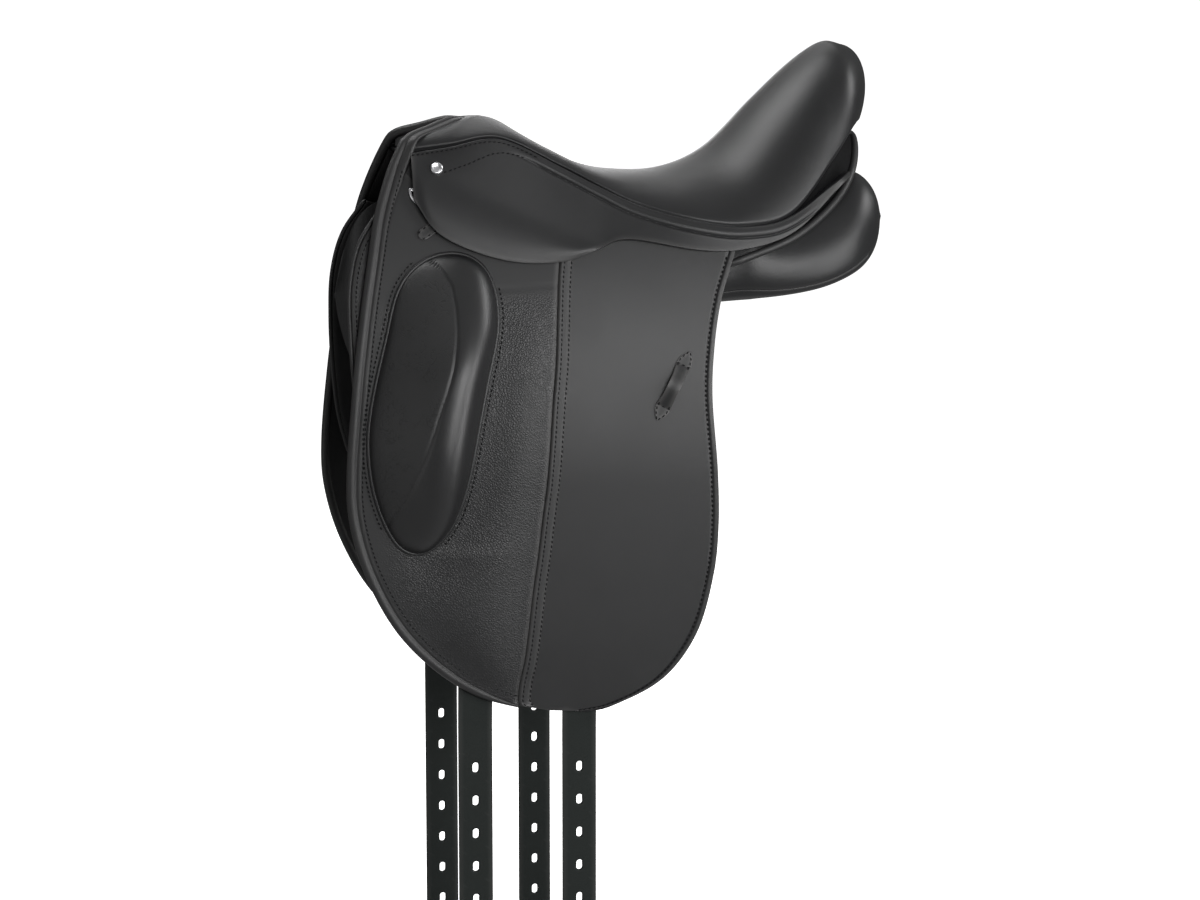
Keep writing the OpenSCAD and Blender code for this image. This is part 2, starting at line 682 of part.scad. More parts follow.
// Seam between the grained front section and the smooth rear section of the flap, as a share of the width
SEAM_SHARE = [[0, 0.48], [0.14, 0.52], [0.3, 0.55], [0.42, 0.54], [0.58, 0.5], [0.7, 0.44], [0.78,
    0.38], [0.84, 0.3],
    [0.88, 0.22], [0.92, 0.1]];
function seam_share(t) = profile(SEAM_SHARE, t);
function row_width(t) = norm(spline(FLAP_REAR, t) - spline(FLAP_FRONT, t));
section_top = 0.14;
section_end = 0.92;
module flap_front_section() {
    rows = [for (t = steps(16)) mix(section_top, section_end, t)];
    starts = [for (t = rows) 5 / row_width(t)];
    ends = [for (t = rows) seam_share(t)];
    color(grained_leather) flap_layer(rows, starts, ends, 6, gap, overlay_t);
}

module flap_strip() {
    rows = [for (t = steps(16)) mix(section_top - 0.03, section_end, t)];
    starts = [for (t = rows) seam_share(t) + 2 * gap / row_width(t)];
    ends = [for (t = rows) seam_share(t) + (2 * gap + strip_w) / row_width(t)];
    color(black_leather) flap_layer(rows, starts, ends, 1, gap, overlay_t);
}

// Binding: runs from the middle of the head along its front edge and down the front edge of the flap
module front_binding() {
    away = binding_r + 3 * gap;
    function head_edge(v) =
        let (p = seat_at(0, v))
        let (q = seat_at(0, v + 0.02) - seat_at(0, v - 0.02))
        let (n = unit([-abs(q[1]), -abs(q[0]), 0]))
        p + away * n - [0, 0, cover_t / 2];
    function flap_edge(t) =
        let (p = spline(FLAP_FRONT, t))
        let (q = spline(FLAP_FRONT, min(1, t + 0.01)) - spline(FLAP_FRONT, max(0, t - 0.01)))
        let (n = unit([q[1], -q[0]]))
        on_flap(p[0] + n[0] * away, p[1] + n[1] * away, -flap_t / 2);
    path = concat([for (i = [0:7]) head_edge(mix(0.86, 0.2, i / 7))],
        [for (i = [0:26]) flap_edge(mix(0.004, 1, i / 26))]);
    color(black_leather) tube(path, binding_r);
}

// Inner flap: lies between the panel and the straps, and shows in front of the flap
INNER_FRONT = [[fx(-216), 66], [fx(-236), 36], [fx(-245), 0], [fx(-246), -40], [fx(-244), -82],
    [fx(-239), -130],
    [fx(-229), -170]];
INNER_REAR = [[50, 40], [50, 20], [50, -10], [48, -40], [46, -82], [40, -130], [30, -170]];
INNER_TOP = [[fx(-216), 66], [-196, 60], [-170, 50], [-148, 42], [-100, 42], [0, 43], [50, 40]];
function inner_place(t, s) =
    let (p = mix(spline(INNER_FRONT, t), spline(INNER_REAR, t), s))
    let (line = mix(INNER_FRONT[0], INNER_REAR[0], s))
    [p[0], p[1] + (profile(INNER_TOP, line[0]) - line[1]) * pow(1 - t, 4)];
module inner_flap() {
    rows = steps(12);
    cols = steps(8);
    function place(t, s, out) = let (p = inner_place(t, s)) on_flap(p[0], p[1], out);
    color(black_leather) sheet(
        [for (t = rows) [for (s = cols) place(t, s, -inner_out)]],
        [for (t = rows) [for (s = cols) place(t, s, -inner_out - lining_t)]]);
}

module inner_piping() {
    away = piping_r + gap;
    function edge(t) =
        let (p = spline(INNER_FRONT, t))
        let (q = spline(INNER_FRONT, min(1, t + 0.01)) - spline(INNER_FRONT, max(0, t - 0.01)))
        let (n = unit([q[1], -q[0]]))
        on_flap(p[0] + n[0] * away, p[1] + n[1] * away, -inner_out - lining_t / 2);
    color(black_leather) tube([for (i = [0:16]) edge(i / 16)], piping_r);
}

// Knee block: a crowned cushion, flat and sloping at the front and round at the rear
block_base = overlay_t + 2 * gap;
BLOCK_LINE = [[block_bottom, -187], [-176, -189], [-107, -183], [-47, -175], [8, -164], [block_top, -155]];
function block_z(w) = mix(block_top, block_bottom, w);
function block_width(w) = block_half * pow(max(0.002, 1 - pow(abs(2 * w - 1), 2.7)), 0.5);
function block_x(w, q) = profile(BLOCK_LINE, block_z(w)) + q * block_width(w);
function block_rise(w, q) =
    let (crest = 0.4)
    let (front_slope = mix(0.16, 1, ramp(-1.35, crest, q)))
    let (rear_round = mix(0.12, 1, sqrt(1 - sq(max(0, q - crest) / (1 - crest)))))
    let (shape = q < crest ? front_slope : rear_round)
    let (edge = sqrt(max(0, 1 - pow(abs(q), 9))))
    let (along = mix(0.5, 1, ramp(0, 0.4, w)) * mix(0.72, 1, 1 - ramp(0.6, 1, w)))
    let (ends = sqrt(1 - pow(abs(2 * w - 1), 7)))
    max(0.8, block_h * shape * edge * along * ends);
function block_place(w, q, out) = on_flap(block_x(w, q), block_z(w), block_base + out);
block_cols = [-1, -0.96, -0.82, -0.62, -0.4, -0.15, 0.1, 0.3, 0.45, 0.6, 0.76, 0.9, 0.98, 1];
block_rows = [0.012, 0.035, 0.08, 0.14, 0.22, 0.3, 0.38, 0.46, 0.54, 0.62, 0.7, 0.78, 0.86, 0.92,
    0.965, 0.988];
module knee_block() {
    color(black_leather) sheet(
        [for (w = block_rows) [for (q = block_cols) block_place(w, q, block_rise(w, q))]],
        [for (w = block_rows) [for (q = block_cols) block_place(w, q, 0)]]);
}

// Inlay: covers the sloping front face of the block up to a curved seam
function inlay_edge(w) = mix(0.16, -0.5, ramp(0.45, 1, w)) - 0.25 * ramp(0.25, 0, w);
module block_inlay() {
    rows = [for (i = [2:14]) block_rows[i]];
    cols = steps(4);
    function q_at(w, s) = mix(-0.8, inlay_edge(w), s);
    function place(w, s, out) = let (q = q_at(w, s)) block_place(w, q, block_rise(w, q) + out);
    color(black_leather) sheet(
        [for (w = rows) [for (s = cols) place(w, s, 3 * gap + inlay_t)]],
        [for (w = rows) [for (s = cols) place(w, s, 3 * gap)]]);
}

// Keeper: a strap sewn down at both ends for the end of the stirrup leather
keeper_x = 27;
keeper_z = -84;
keeper_lean = 27;
module keeper() {
    function place(t, s, out) =
        let (a = (t - 0.5) * keeper_l)
        let (taper = mix(0.25, 1, ramp(0, 0.12, t) * ramp(1, 0.88, t)))
        let (b = s * keeper_w * taper)
        let (lift = keeper_room * ramp(0.2, 0.42, t) * ramp(0.8, 0.58, t))
        on_flap(keeper_x + a * sin(keeper_lean) + b * cos(keeper_lean),
            keeper_z + a * cos(keeper_lean) - b * sin(keeper_lean), lift + out);
    rows = steps(20);
    color(black_leather) sheet(
        [for (t = rows) [for (s = [-0.5, 0.5]) place(t, s, gap + overlay_t)]],
        [for (t = rows) [for (s = [-0.5, 0.5]) place(t, s, gap)]]);
}

// Panels: stuffed cushions on both sides of the gullet, deep at the front and full at the rear
PANEL_IN = [[-244, 66], [-230, 52], [-212, 45], [-150, 36], [-60, 32], [0, 31], [150, 31], [198, 36],
    [228, 50]];
PANEL_TOP = [[-244, 18], [-220, 58], [-188, 70], [-150, 76], [-115, 84], [-63, 64], [-10, 38], [47,
    32], [90, 42],
    [143, 66], [184, 84], [208, 93], [228, 91]];
PANEL_SHOULDER = [[-244, 6], [-220, 44], [-188, 54], [-150, 58], [-115, 62], [-63, 52], [-10, 31], [47, 24],
    [100, 16], [143, 30], [184, 56], [208, 76], [228, 80]];
PANEL_LOW = [[-244, -60], [-220, -panel_front_drop], [-150, -panel_front_drop], [-50, -62], [60, -18],
    [104, -14], [144, -6], [174, 4], [208, 26], [228, 50]];
function panel_limit(x, z) =
    let (recess = (point_t + point_in - panel_out + 1) * ramp(28, 40, z) * ramp(-230, -203,
        x) * ramp(-60, -78, x))
    let (free = 116 * pow(max(0.01, 1 - pow(max(0, (x - 150) / (panel_back + 14 - 150)), 3)), 0.4))
    min(flap_y(x, z) - panel_out - gap - recess, free);
function panel_in(x) = profile(PANEL_IN, x) + gullet_half - 31;
function panel_control(x) =
    let (b = panel_in(x))
    let (t = profile(PANEL_TOP, x))
    let (sh = profile(PANEL_SHOULDER, x))
    let (l = profile(PANEL_LOW, x))
    let (m = mix(sh, l, 0.5))
    [[b + 3, t], [b, mix(t, l, 0.42)], [mix(b, panel_limit(x, l), 0.5), mix(t, l, 0.8)],
        [panel_limit(x, l) - 5, l], [panel_limit(x, m), m], [panel_limit(x, sh) - 2, sh]];
function panel_ring(x, shrink) =
    let (c = panel_control(x))
    let (mid = (c[0] + c[1] + c[2] + c[3] + c[4] + c[5]) / 6)
    [for (i = [0:23])
        let (p = mix(mid, ring_spline(c, i / 24), shrink))
        [x, max(c[1][0], min(p[0], panel_limit(x, p[1]))), p[1]]];
module panel() {
    panel_front = -244;
    nose = 18;
    heel = 30;
    xs = concat([for (i = [0:4]) panel_front + nose * (1 - cos(17 * i))],
        [for (i = [0:13]) mix(panel_front + nose, panel_back - heel - 2, i / 13)],
        [for (i = [0:6]) panel_back - heel + heel * sin(15 * i)]);
    function shrink(x) =
        let (a = min(1, (x - panel_front) / nose))
        let (b = min(1, (panel_back - x) / heel))
        max(0.12, sqrt(1 - sq(1 - a))) * max(0.12, sqrt(1 - sq(1 - b)));
    color(black_leather) skin([for (x = xs) panel_ring(x, shrink(x))]);
}

// Channel lining: closes the top of the gullet between the panels
module channel_lining() {
    rows = [for (i = [0:20]) mix(-176, panel_back - 30, i / 20)];
    cols = steps(6);
    function place(x, s, depth) =
        let (y = (2 * s - 1) * (panel_in(x) - 2 * gap))
        [x, y, profile(PANEL_TOP, x) - 12 + 9 * (1 - sq(2 * s - 1)) - depth];
    color(black_leather) sheet(
        [for (x = rows) [for (s = cols) place(x, s, 0)]],
        [for (x = rows) [for (s = cols) place(x, s, lining_t)]]);
}

// Welt along the top of the rear panels, round the back of the saddle
welt_drop = 26;
WELT = [[90, seat_half + 2, skirt_low], SEAM[8] + [2, 0, -0.8 * welt_drop], SEAM[9] + [2, 0,
    -1.4 * welt_drop],
    SEAM[10] + [-2, 0, -1.7 * welt_drop], [SEAM[11][0] - 4, 0, seam_cantle - welt_drop]];
welt_tail = [WELT[3][0], -WELT[3][1], WELT[3][2]];
function welt(t) = spline(WELT, t, welt_tail);
module rear_welt() {
    half = [for (t = steps(16)) welt(t)];
    color(black_leather) tube(concat(half, [for (i = [15:-1:0]) other_side(half[i])]), welt_r);
}

// Facing between the welt and the underside of the cantle
module cantle_facing() {
    cols = steps(3);
    rows = steps(12);
    function half(t, s, depth) =
        let (u = mix(8, seat_rows, t) / seat_rows)
        let (low = welt(mix(0.25, 1, t)) + [0, 0, 1.5 * welt_r + gap])
        let (top = seam(u) - seam_out(u) * 2 - [0, 0, 9])
        mix(top, low, s) - seam_out(u) * (depth + 1);
    function row(s, depth) =
        let (h = [for (t = rows) half(t, s, depth)])
        concat(h, [for (i = [len(h) - 2:-1:0]) other_side(h[i])]);
    color(black_leather) sheet([for (s = cols) row(s, 0)], [for (s = cols) row(s, lining_t)]);
}

// Girth straps: the upper part lies between the flap and the inner flap, the end swings below the flap
bend_z = -flap_drop - 16;
function strap_plane(x) = flap_y(x, bend_z) - strap_out - strap_t / 2;
module strap(x) {
    rows = steps(14);
    function place(t, s, depth) =
        let (z = mix(strap_top, bend_z + strap_t / 2 + gap, t))
        let (turn = ramp(bend_z, bend_z + 55, z))
        let (dx = s * strap_w)
        [x + dx, flap_y(x, z) + flare * dx * turn - strap_out - depth, z];
    color(black_leather) sheet(
        [for (t = rows) [for (s = [-0.5, 0.5]) place(t, s, 0)]],
        [for (t = rows) [for (s = [-0.5, 0.5]) place(t, s, strap_t)]]);
}

module strap_free_end(x) {
    tip = 14;
    color(black_leather) translate([x, strap_plane(x), bend_z]) difference() {
        union() {
            rotate([0, 90, 0]) cylinder(r = strap_t / 2, h = strap_w, center = true, $fn = 32);
            translate([0, strap_t / 2, 0]) rotate([90, 0, 0]) linear_extrude(strap_t)
                polygon([[-strap_w / 2, 0], [strap_w / 2, 0], [strap_w / 2, -strap_end + tip],
                    [strap_w / 4, -strap_end], [-strap_w / 4, -strap_end], [-strap_w / 2,
                        -strap_end + tip]]);
        }
        for (i = [0:holes - 1]) translate([0, strap_t, -first_hole - i * hole_pitch]) rotate([90, 0, 0])
            linear_extrude(2 * strap_t) {
                for (s = [-1, 1]) translate([0, s * (hole_l - hole_w) / 2]) circle(d = hole_w, $fn = 32);
                square([hole_w, hole_l - hole_w], center = true);
            }
    }
}

tree();
gullet_plate();
cantle_plate();
left() spring_rail();  // spring_rail_left
spring_rail();  // spring_rail_right
left() tree_point();  // tree_point_left
tree_point();  // tree_point_right
seat_web();
girth_web();
seat_foam();
seat_cover();
head_facing();
cantle_facing();
channel_lining();
left() skirt();  // skirt_left
skirt();  // skirt_right
left() skirt_lift_part();  // skirt_lift_left
skirt_lift_part();  // skirt_lift_right
head_nails();
left() stirrup_bar();  // stirrup_bar_left
stirrup_bar();  // stirrup_bar_right
left() bar_rivets();  // bar_rivets_left
bar_rivets();  // bar_rivets_right
left() catch();  // catch_left
catch();  // catch_right
left() catch_pin();  // catch_pin_left
catch_pin();  // catch_pin_right
left() dee();  // dee_left
dee();  // dee_right
left() dee_chape();  // dee_chape_left
dee_chape();  // dee_chape_right
left() flap();  // flap_left
flap();  // flap_right
left() flap_front_section();  // flap_front_left
flap_front_section();  // flap_front_right
left() flap_strip();  // flap_strip_left
flap_strip();  // flap_strip_right
left() front_binding();  // front_binding_left
front_binding();  // front_binding_right
left() inner_flap();  // inner_flap_left
inner_flap();  // inner_flap_right
left() inner_piping();  // inner_piping_left
inner_piping();  // inner_piping_right
left() knee_block();  // knee_block_left
knee_block();  // knee_block_right
left() block_inlay();  // block_inlay_left
block_inlay();  // block_inlay_right
left() keeper();  // keeper_left
keeper();  // keeper_right
left() panel();  // panel_left
panel();  // panel_right
rear_welt();
left() strap(-strap_front);  // strap_front_left
strap(-strap_front);  // strap_front_right
left() strap(-strap_rear);  // strap_rear_left
strap(-strap_rear);  // strap_rear_right
left() strap_free_end(-strap_front);  // strap_end_front_left
strap_free_end(-strap_front);  // strap_end_front_right
left() strap_free_end(-strap_rear);  // strap_end_rear_left
strap_free_end(-strap_rear);  // strap_end_rear_right
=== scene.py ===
"""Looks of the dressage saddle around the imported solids: leather, padding, stitching and metal.

The form tables are in millimetres and drawn for the right side. Finished meshes are in metres, in the solids'
frame.
"""
import math

import bmesh
import bpy
import numpy as np
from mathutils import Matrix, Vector


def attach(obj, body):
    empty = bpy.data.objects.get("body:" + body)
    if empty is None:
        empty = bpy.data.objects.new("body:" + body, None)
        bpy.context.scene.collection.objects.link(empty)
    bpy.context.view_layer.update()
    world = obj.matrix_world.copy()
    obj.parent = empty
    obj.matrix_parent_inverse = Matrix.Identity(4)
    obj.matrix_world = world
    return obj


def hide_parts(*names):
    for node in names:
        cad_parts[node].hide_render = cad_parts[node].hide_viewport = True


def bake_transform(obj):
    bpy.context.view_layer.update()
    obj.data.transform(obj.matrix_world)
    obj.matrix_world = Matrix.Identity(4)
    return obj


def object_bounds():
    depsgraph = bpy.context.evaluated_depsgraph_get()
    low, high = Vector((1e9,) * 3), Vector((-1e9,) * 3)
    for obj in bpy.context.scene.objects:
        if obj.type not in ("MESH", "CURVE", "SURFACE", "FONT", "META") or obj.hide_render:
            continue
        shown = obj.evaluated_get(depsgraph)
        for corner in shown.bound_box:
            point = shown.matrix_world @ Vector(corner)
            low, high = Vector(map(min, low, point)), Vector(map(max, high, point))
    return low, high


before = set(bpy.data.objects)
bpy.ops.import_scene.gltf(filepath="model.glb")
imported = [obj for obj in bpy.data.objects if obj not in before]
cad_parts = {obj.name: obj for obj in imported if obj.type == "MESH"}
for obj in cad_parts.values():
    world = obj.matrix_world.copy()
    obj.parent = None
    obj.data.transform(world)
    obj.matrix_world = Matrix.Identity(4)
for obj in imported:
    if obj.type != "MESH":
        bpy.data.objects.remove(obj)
solid_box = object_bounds()
scene = bpy.context.scene
MM = 0.001
UP = np.array([0, 0, 1.0])
SIDES = {"left": -1.0, "right": 1.0}
FIXED = "saddle"


# Curves and blends

def ramp(a, b, v):
    t = np.clip((np.asarray(v, float) - a) / (b - a), 0, 1)
    return t * t * (3 - 2 * t)


def mix(a, b, t):
    return a + (b - a) * t


def last(v):
    return np.asarray(v, float)[..., None]


def unit(v):
    return v / np.maximum(np.linalg.norm(v, axis=-1, keepdims=True), 1e-9)


def bell(distance, width):
    return np.exp(-np.square(distance / width))


def xyz(x, y, z):
    return np.stack(np.broadcast_arrays(np.asarray(x, float), y, z), -1).astype(float)


def segment(p, t):
    """Smooth curve through all points but the first and the last, at t from 0 to 1."""
    n = len(p) - 3
    i = np.clip(np.floor(t * n).astype(int), 0, n - 1)
    s = last(t * n - i)
    a, b, c, d = p[i], p[i + 1], p[i + 2], p[i + 3]
    bend, twist = a - 2.5 * b + 2 * c - d / 2, 1.5 * b - a / 2 - 1.5 * c + d / 2
    return b + (c - a) * s / 2 + bend * s**2 + twist * s**3


def spline(points, t, tail=None):
    """Smooth curve through the points; tail is a point that it heads for past its end."""
    p = np.asarray(points, float)
    end = 2 * p[-1] - p[-2] if tail is None else np.asarray(tail, float)
    return segment(np.vstack([2 * p[0] - p[1], p, end]), np.asarray(t, float))


def profile(pairs, x):
    """Smooth line through pairs of a place and a value."""
    p = np.asarray(pairs, float)
    k = np.arange(len(p))
    lo, hi = np.maximum(k - 1, 0), np.minimum(k + 1, len(p) - 1)
    slope = (p[hi, 1] - p[lo, 1]) / (p[hi, 0] - p[lo, 0])
    x = np.asarray(x, float)
    i = np.clip(np.searchsorted(p[:, 0], x, "left") - 1, 0, len(p) - 2)
    h = p[i + 1, 0] - p[i, 0]
    s = np.clip((x - p[i, 0]) / h, 0, 1)
    a, b, rise = slope[i] * h, slope[i + 1] * h, p[i + 1, 1] - p[i, 1]
    return p[i, 1] + a * s + (3 * rise - 2 * a - b) * s**2 + (a + b - 2 * rise) * s**3


def grid_normals(p):
    return unit(np.cross(np.gradient(p, axis=0), np.gradient(p, axis=1)))


def run_length(p):
    """Distance of each point from the first of its row."""
    steps = np.linalg.norm(np.diff(p, axis=-2), axis=-1)
    return np.concatenate([np.zeros(steps.shape[:-1] + (1,)), np.cumsum(steps, -1)], -1)


def steps(*runs):
    """Values in runs of (start, end, count); each run starts where the one before it ends."""
    parts = [np.linspace(*run) for run in runs]
    return np.concatenate([part[:-1] for part in parts[:-1]] + parts[-1:])


def ease(p, passes, axis=0):
    """Evens out rows of points in place; the first and the last of each row stay."""
    q = np.moveaxis(p, axis, 0)
    for _ in range(passes):
        q[1:-1] = 0.5 * q[1:-1] + 0.25 * (q[2:] + q[:-2])


def mirrored(p, sign):
    return p * np.array([1, sign, 1.0])


def whole(half, axis=0):
    """Half of a piece that ends on the saddle's middle line, joined to its mirror image."""
    return np.concatenate([half, mirrored(np.flip(np.delete(half, -1, axis), axis), -1)], axis)


# Forms shared with the solids

FLAP_T, OVERLAY_T, LINING_T, SKIRT_T, COVER_T, STRAP_T = 3.2, 1.8, 2.2, 3.0, 2.5, 4.0
HANG_HALF, HANG_Z, DRAW_IN, LEAN_TOP = 102.0, -170.0, 66.0, 127.0
FLAP_FORE, FLAP_SPLAY, FLAP_BOTTOM, BOTTOM_IN = -250.0, 0.13, -372.0, 3.0
STRAP_OUT = FLAP_T + 2.4
INNER_OUT = STRAP_OUT + STRAP_T + 0.6
PANEL_OUT = INNER_OUT + LINING_T + 0.3


def flap_y(x, z):
    up = np.maximum(0, z - HANG_Z) / (LEAN_TOP - HANG_Z)
    down = np.maximum(0, HANG_Z - z) / (HANG_Z - FLAP_BOTTOM)
    return HANG_HALF + FLAP_SPLAY * (x - FLAP_FORE) - DRAW_IN * up**2 - BOTTOM_IN * down**2


def on_flap(x, z, out=0.0):
    return xyz(x, flap_y(x, z) + out, z)


def flap_lean(z):
    """How far the flap's face leans in for each step up."""
    return 2 * DRAW_IN * np.maximum(0, np.asarray(z, float) - HANG_Z) / (LEAN_TOP - HANG_Z)**2


def flap_normal(z):
    lean = flap_lean(z)
    return unit(xyz(-FLAP_SPLAY + 0 * lean, 1.0, lean))


HEAD_FRONT, CUT_BACK, HEAD_Z, DIP_Z, CANTLE_X, CANTLE_Z = 135.0, 55.0, 146.0, 94.0, 223.0, 207.0
HEAD_HALF, SEAT_HALF, SEAM_HEAD, SEAM_LOW, SEAM_CANTLE = 58.0, 112.0, 128.0, 52.0, 150.0


def seat_x(f):
    return mix(-HEAD_FRONT, CANTLE_X, f)


def seam_point(f, w, z):
    return [seat_x(f) + 0.12 * w, w, z]


SEAM = np.array([
    [-HEAD_FRONT - CUT_BACK, HEAD_HALF - 6, SEAM_HEAD - 12],
    seam_point(-0.08, HEAD_HALF, SEAM_HEAD - 7),
    seam_point(0.04, mix(HEAD_HALF, SEAT_HALF, 0.1), SEAM_HEAD),
    seam_point(0.18, mix(HEAD_HALF, SEAT_HALF, 0.27), mix(SEAM_LOW, SEAM_HEAD, 0.68)),
    seam_point(0.27, mix(HEAD_HALF, SEAT_HALF, 0.45), mix(SEAM_LOW, SEAM_HEAD, 0.45)),
    seam_point(0.36, mix(HEAD_HALF, SEAT_HALF, 0.64), mix(SEAM_LOW, SEAM_HEAD, 0.24)),
    seam_point(0.49, mix(HEAD_HALF, SEAT_HALF, 0.92), mix(SEAM_LOW, SEAM_HEAD, 0.06)),
    seam_point(0.61, SEAT_HALF, SEAM_LOW),
    seam_point(0.73, SEAT_HALF * 0.95, mix(SEAM_LOW, SEAM_CANTLE, 0.1)),
    seam_point(0.85, SEAT_HALF * 0.79, mix(SEAM_LOW, SEAM_CANTLE, 0.55)),
    seam_point(0.935, SEAT_HALF * 0.56, mix(SEAM_LOW, SEAM_CANTLE, 0.93)),
    [CANTLE_X, 0, SEAM_CANTLE]])
SEAM_TAIL = SEAM[10] * [1, -1, 1]
HEAD_RISE = ((0, 1), (0.04, 0.97), (0.09, 0.86), (0.18, 0.47), (0.27, 0.17), (0.36, 0.03))
CANTLE_RISE = ((0.49, 0.02), (0.61, 0.18), (0.73, 0.55), (0.83, 0.84))
RIDGE = np.array([[seat_x(f), 0, mix(DIP_Z, HEAD_Z, share)] for f, share in HEAD_RISE]
                 + [[seat_x(f), 0, mix(DIP_Z, CANTLE_Z, share)] for f, share in CANTLE_RISE]
                 + [[seat_x(0.91), 0, CANTLE_Z + 0.5], [seat_x(0.965), 0, CANTLE_Z - 2]])
ROWS = 11.0
RIDGE_EASE, CANTLE_ROLL, CANTLE_HANG, CANTLE_DIP, WAIST_IN = 0.7, 13.0, 15.0, 5.0, 6.0


def seam(u):
    return spline(SEAM, u, SEAM_TAIL)


def seam_out(u):
    u = np.asarray(u, float)
    d = seam(np.minimum(1, u + 0.01)) - seam(np.maximum(0, u - 0.01))
    n = unit(xyz(-d[..., 1], d[..., 0], 0))
    return np.where(last(u) > 0.995, [1.0, 0, 0], n)


def seat_at(u, v):
    """Seat's face from the seam, v 0, to the ridge, v 1; u goes from the head to the cantle."""
    near = np.clip((u - RIDGE_EASE) / (1 - RIDGE_EASE), 0, 1)
    eased = mix(RIDGE_EASE, 1, near + near**2 - near**3)
    s, r = seam(u), spline(RIDGE, np.where(u < RIDGE_EASE, u, eased))
    out, rear = seam_out(u), ramp(0.8, 1, u)
    roll = out * last(CANTLE_ROLL * ramp(0.78, 1, u))
    s = s - xyz(0, 0, CANTLE_HANG * rear)
    b = s + roll - out * last(WAIST_IN * ramp(0.3, 0.5, u) * ramp(1, 0.8, u))
    b[..., 2] += mix(0.55, 0.42, ramp(0.3, 0.6, u)) * (r[..., 2] - s[..., 2])
    level = mix(r, s, last(0.55 + 0.15 * ramp(0.6, 0.9, u)))
    c = xyz(level[..., 0], level[..., 1], r[..., 2] - CANTLE_DIP * rear) + roll
    v = last(v)
    return s * (1 - v)**3 + b * 3 * v * (1 - v)**2 + c * 3 * v**2 * (1 - v) + r * v**3


HEAD_AHEAD = [[0, -6], [0.3, -4], [0.6, -2], [1, 0]]
HEAD_DROP = [[0, 0], [0.3, -2], [0.6, -6], [0.85, -4], [1, -2]]


def head_shift(v):
    return xyz(profile(HEAD_AHEAD, v), 0, profile(HEAD_DROP, v))


def head_edge(v):
    """Front edge of the seat, from the seam at 0 to the centre at 1, and the level direction ahead of it."""
    e = 0.01
    d = seat_at(0 * v, np.minimum(1, v + e)) - seat_at(0 * v, np.maximum(0, v - e))
    return seat_at(0 * v, v) + head_shift(v), unit(xyz(-np.abs(d[:, 1]), -np.abs(d[:, 0]), 0)), d


SKIRT_LOW, SKIRT_FALL = 22.0, 40.0


def skirt_point(x, z, f):
    return on_flap(x, z, SKIRT_T + mix(10, 5, f))


EDGE = np.array([
    skirt_point(-191, 77, 0), skirt_point(-169, SKIRT_LOW + 24, 0.2), skirt_point(-116, SKIRT_LOW + 3, 0.6),
    skirt_point(-65, SKIRT_LOW + 1, 0.9), skirt_point(-36, SKIRT_LOW + 11, 1),
    skirt_point(-8, SKIRT_LOW + 20.5, 1), skirt_point(53, SKIRT_LOW + 10.5, 1),
    [SEAM[7][0], SEAT_HALF + 7, SKIRT_LOW + 11],
    [SEAM[8][0] + 2, SEAM[8][1] + 6, SKIRT_LOW + 25], SEAM[9] + [4, 4, -SKIRT_FALL / 2 - 4],
    SEAM[10] + [4, 2, -SKIRT_FALL - 5]])
NOTCH, SKIRT_END = 4 / ROWS, 9.5 / ROWS


def skirt_edge(u):
    return spline(EDGE, u * ROWS / (len(EDGE) - 1))


def skirt_top(u):
    fall = 1 + SKIRT_FALL * ramp(7.8 / ROWS, 10.3 / ROWS, u)
    return seam(u) + seam_out(u) * (SKIRT_T + 0.5) - xyz(0, 0, fall)


FOLD_FRONT = mix(skirt_top(np.array(0.0)), EDGE[0], 0.3) + [0, 4, 0]
FOLD_REAR = EDGE[4]


def fold(u):
    s = (skirt_edge(u)[..., 0] - FOLD_FRONT[0]) / (FOLD_REAR[0] - FOLD_FRONT[0])
    return mix(FOLD_FRONT, FOLD_REAR, last(s))


FLAP_FRONT = [[-197, 113], [-218, 60], [-229, 11], [-238, -43], [-244, -90], [-250, -158], [-248, -202],
              [-234, -250], [-207, -299], [-168, -337], [-122, -362], [-81, -371]]
FLAP_REAR = [[90, 42], [80, 15], [71, -12], [64, -50], [61, -95], [65, -158], [66, -205], [62, -250],
             [48, -302], [20, -342], [-20, -365], [-54, -372]]
FLAP_TOP = [[-199, 116], [-184, 101], [-167, 66], [-148, 49], [-110, 47], [-60, 50], [0, 49], [90, 42]]
SEAM_SHARE = [[0, 0.48], [0.14, 0.52], [0.3, 0.55], [0.42, 0.54], [0.58, 0.5], [0.7, 0.44], [0.78, 0.38],
              [0.84, 0.3], [0.88, 0.22], [0.92, 0.1], [0.945, 0.02]]


def between_edges(front, rear, top, t, s, fade):
    """Place between two edges, and the dip to the top line, which fades with a power of the way down."""
    p = mix(spline(front, t), spline(rear, t), last(s))
    line = mix(np.array(front[0], float), np.array(rear[0], float), last(s))
    return p[..., 0], p[..., 1], (profile(top, line[..., 0]) - line[..., 1]) * (1 - t)**fade


def flap_place(t, s):
    x, z, dip = between_edges(FLAP_FRONT, FLAP_REAR, FLAP_TOP, t, s, 6)
    return x, z + dip * ramp(0, 0.03, s)


def row_width(t):
    return np.linalg.norm(spline(FLAP_REAR, t) - spline(FLAP_FRONT, t), axis=-1)


INNER_FRONT = [[-216, 66], [-236, 36], [-245, 0], [-246, -40], [-244, -82], [-239, -130], [-229, -170]]
INNER_REAR = [[50, 40], [50, 20], [50, -10], [48, -40], [46, -82], [40, -130], [30, -170]]
INNER_TOP = [[-216, 66], [-196, 60], [-170, 50], [-148, 42], [-100, 42], [0, 43], [50, 40]]


def inner_place(t, s):
    x, z, dip = between_edges(INNER_FRONT, INNER_REAR, INNER_TOP, t, s, 4)
    return x, z + dip


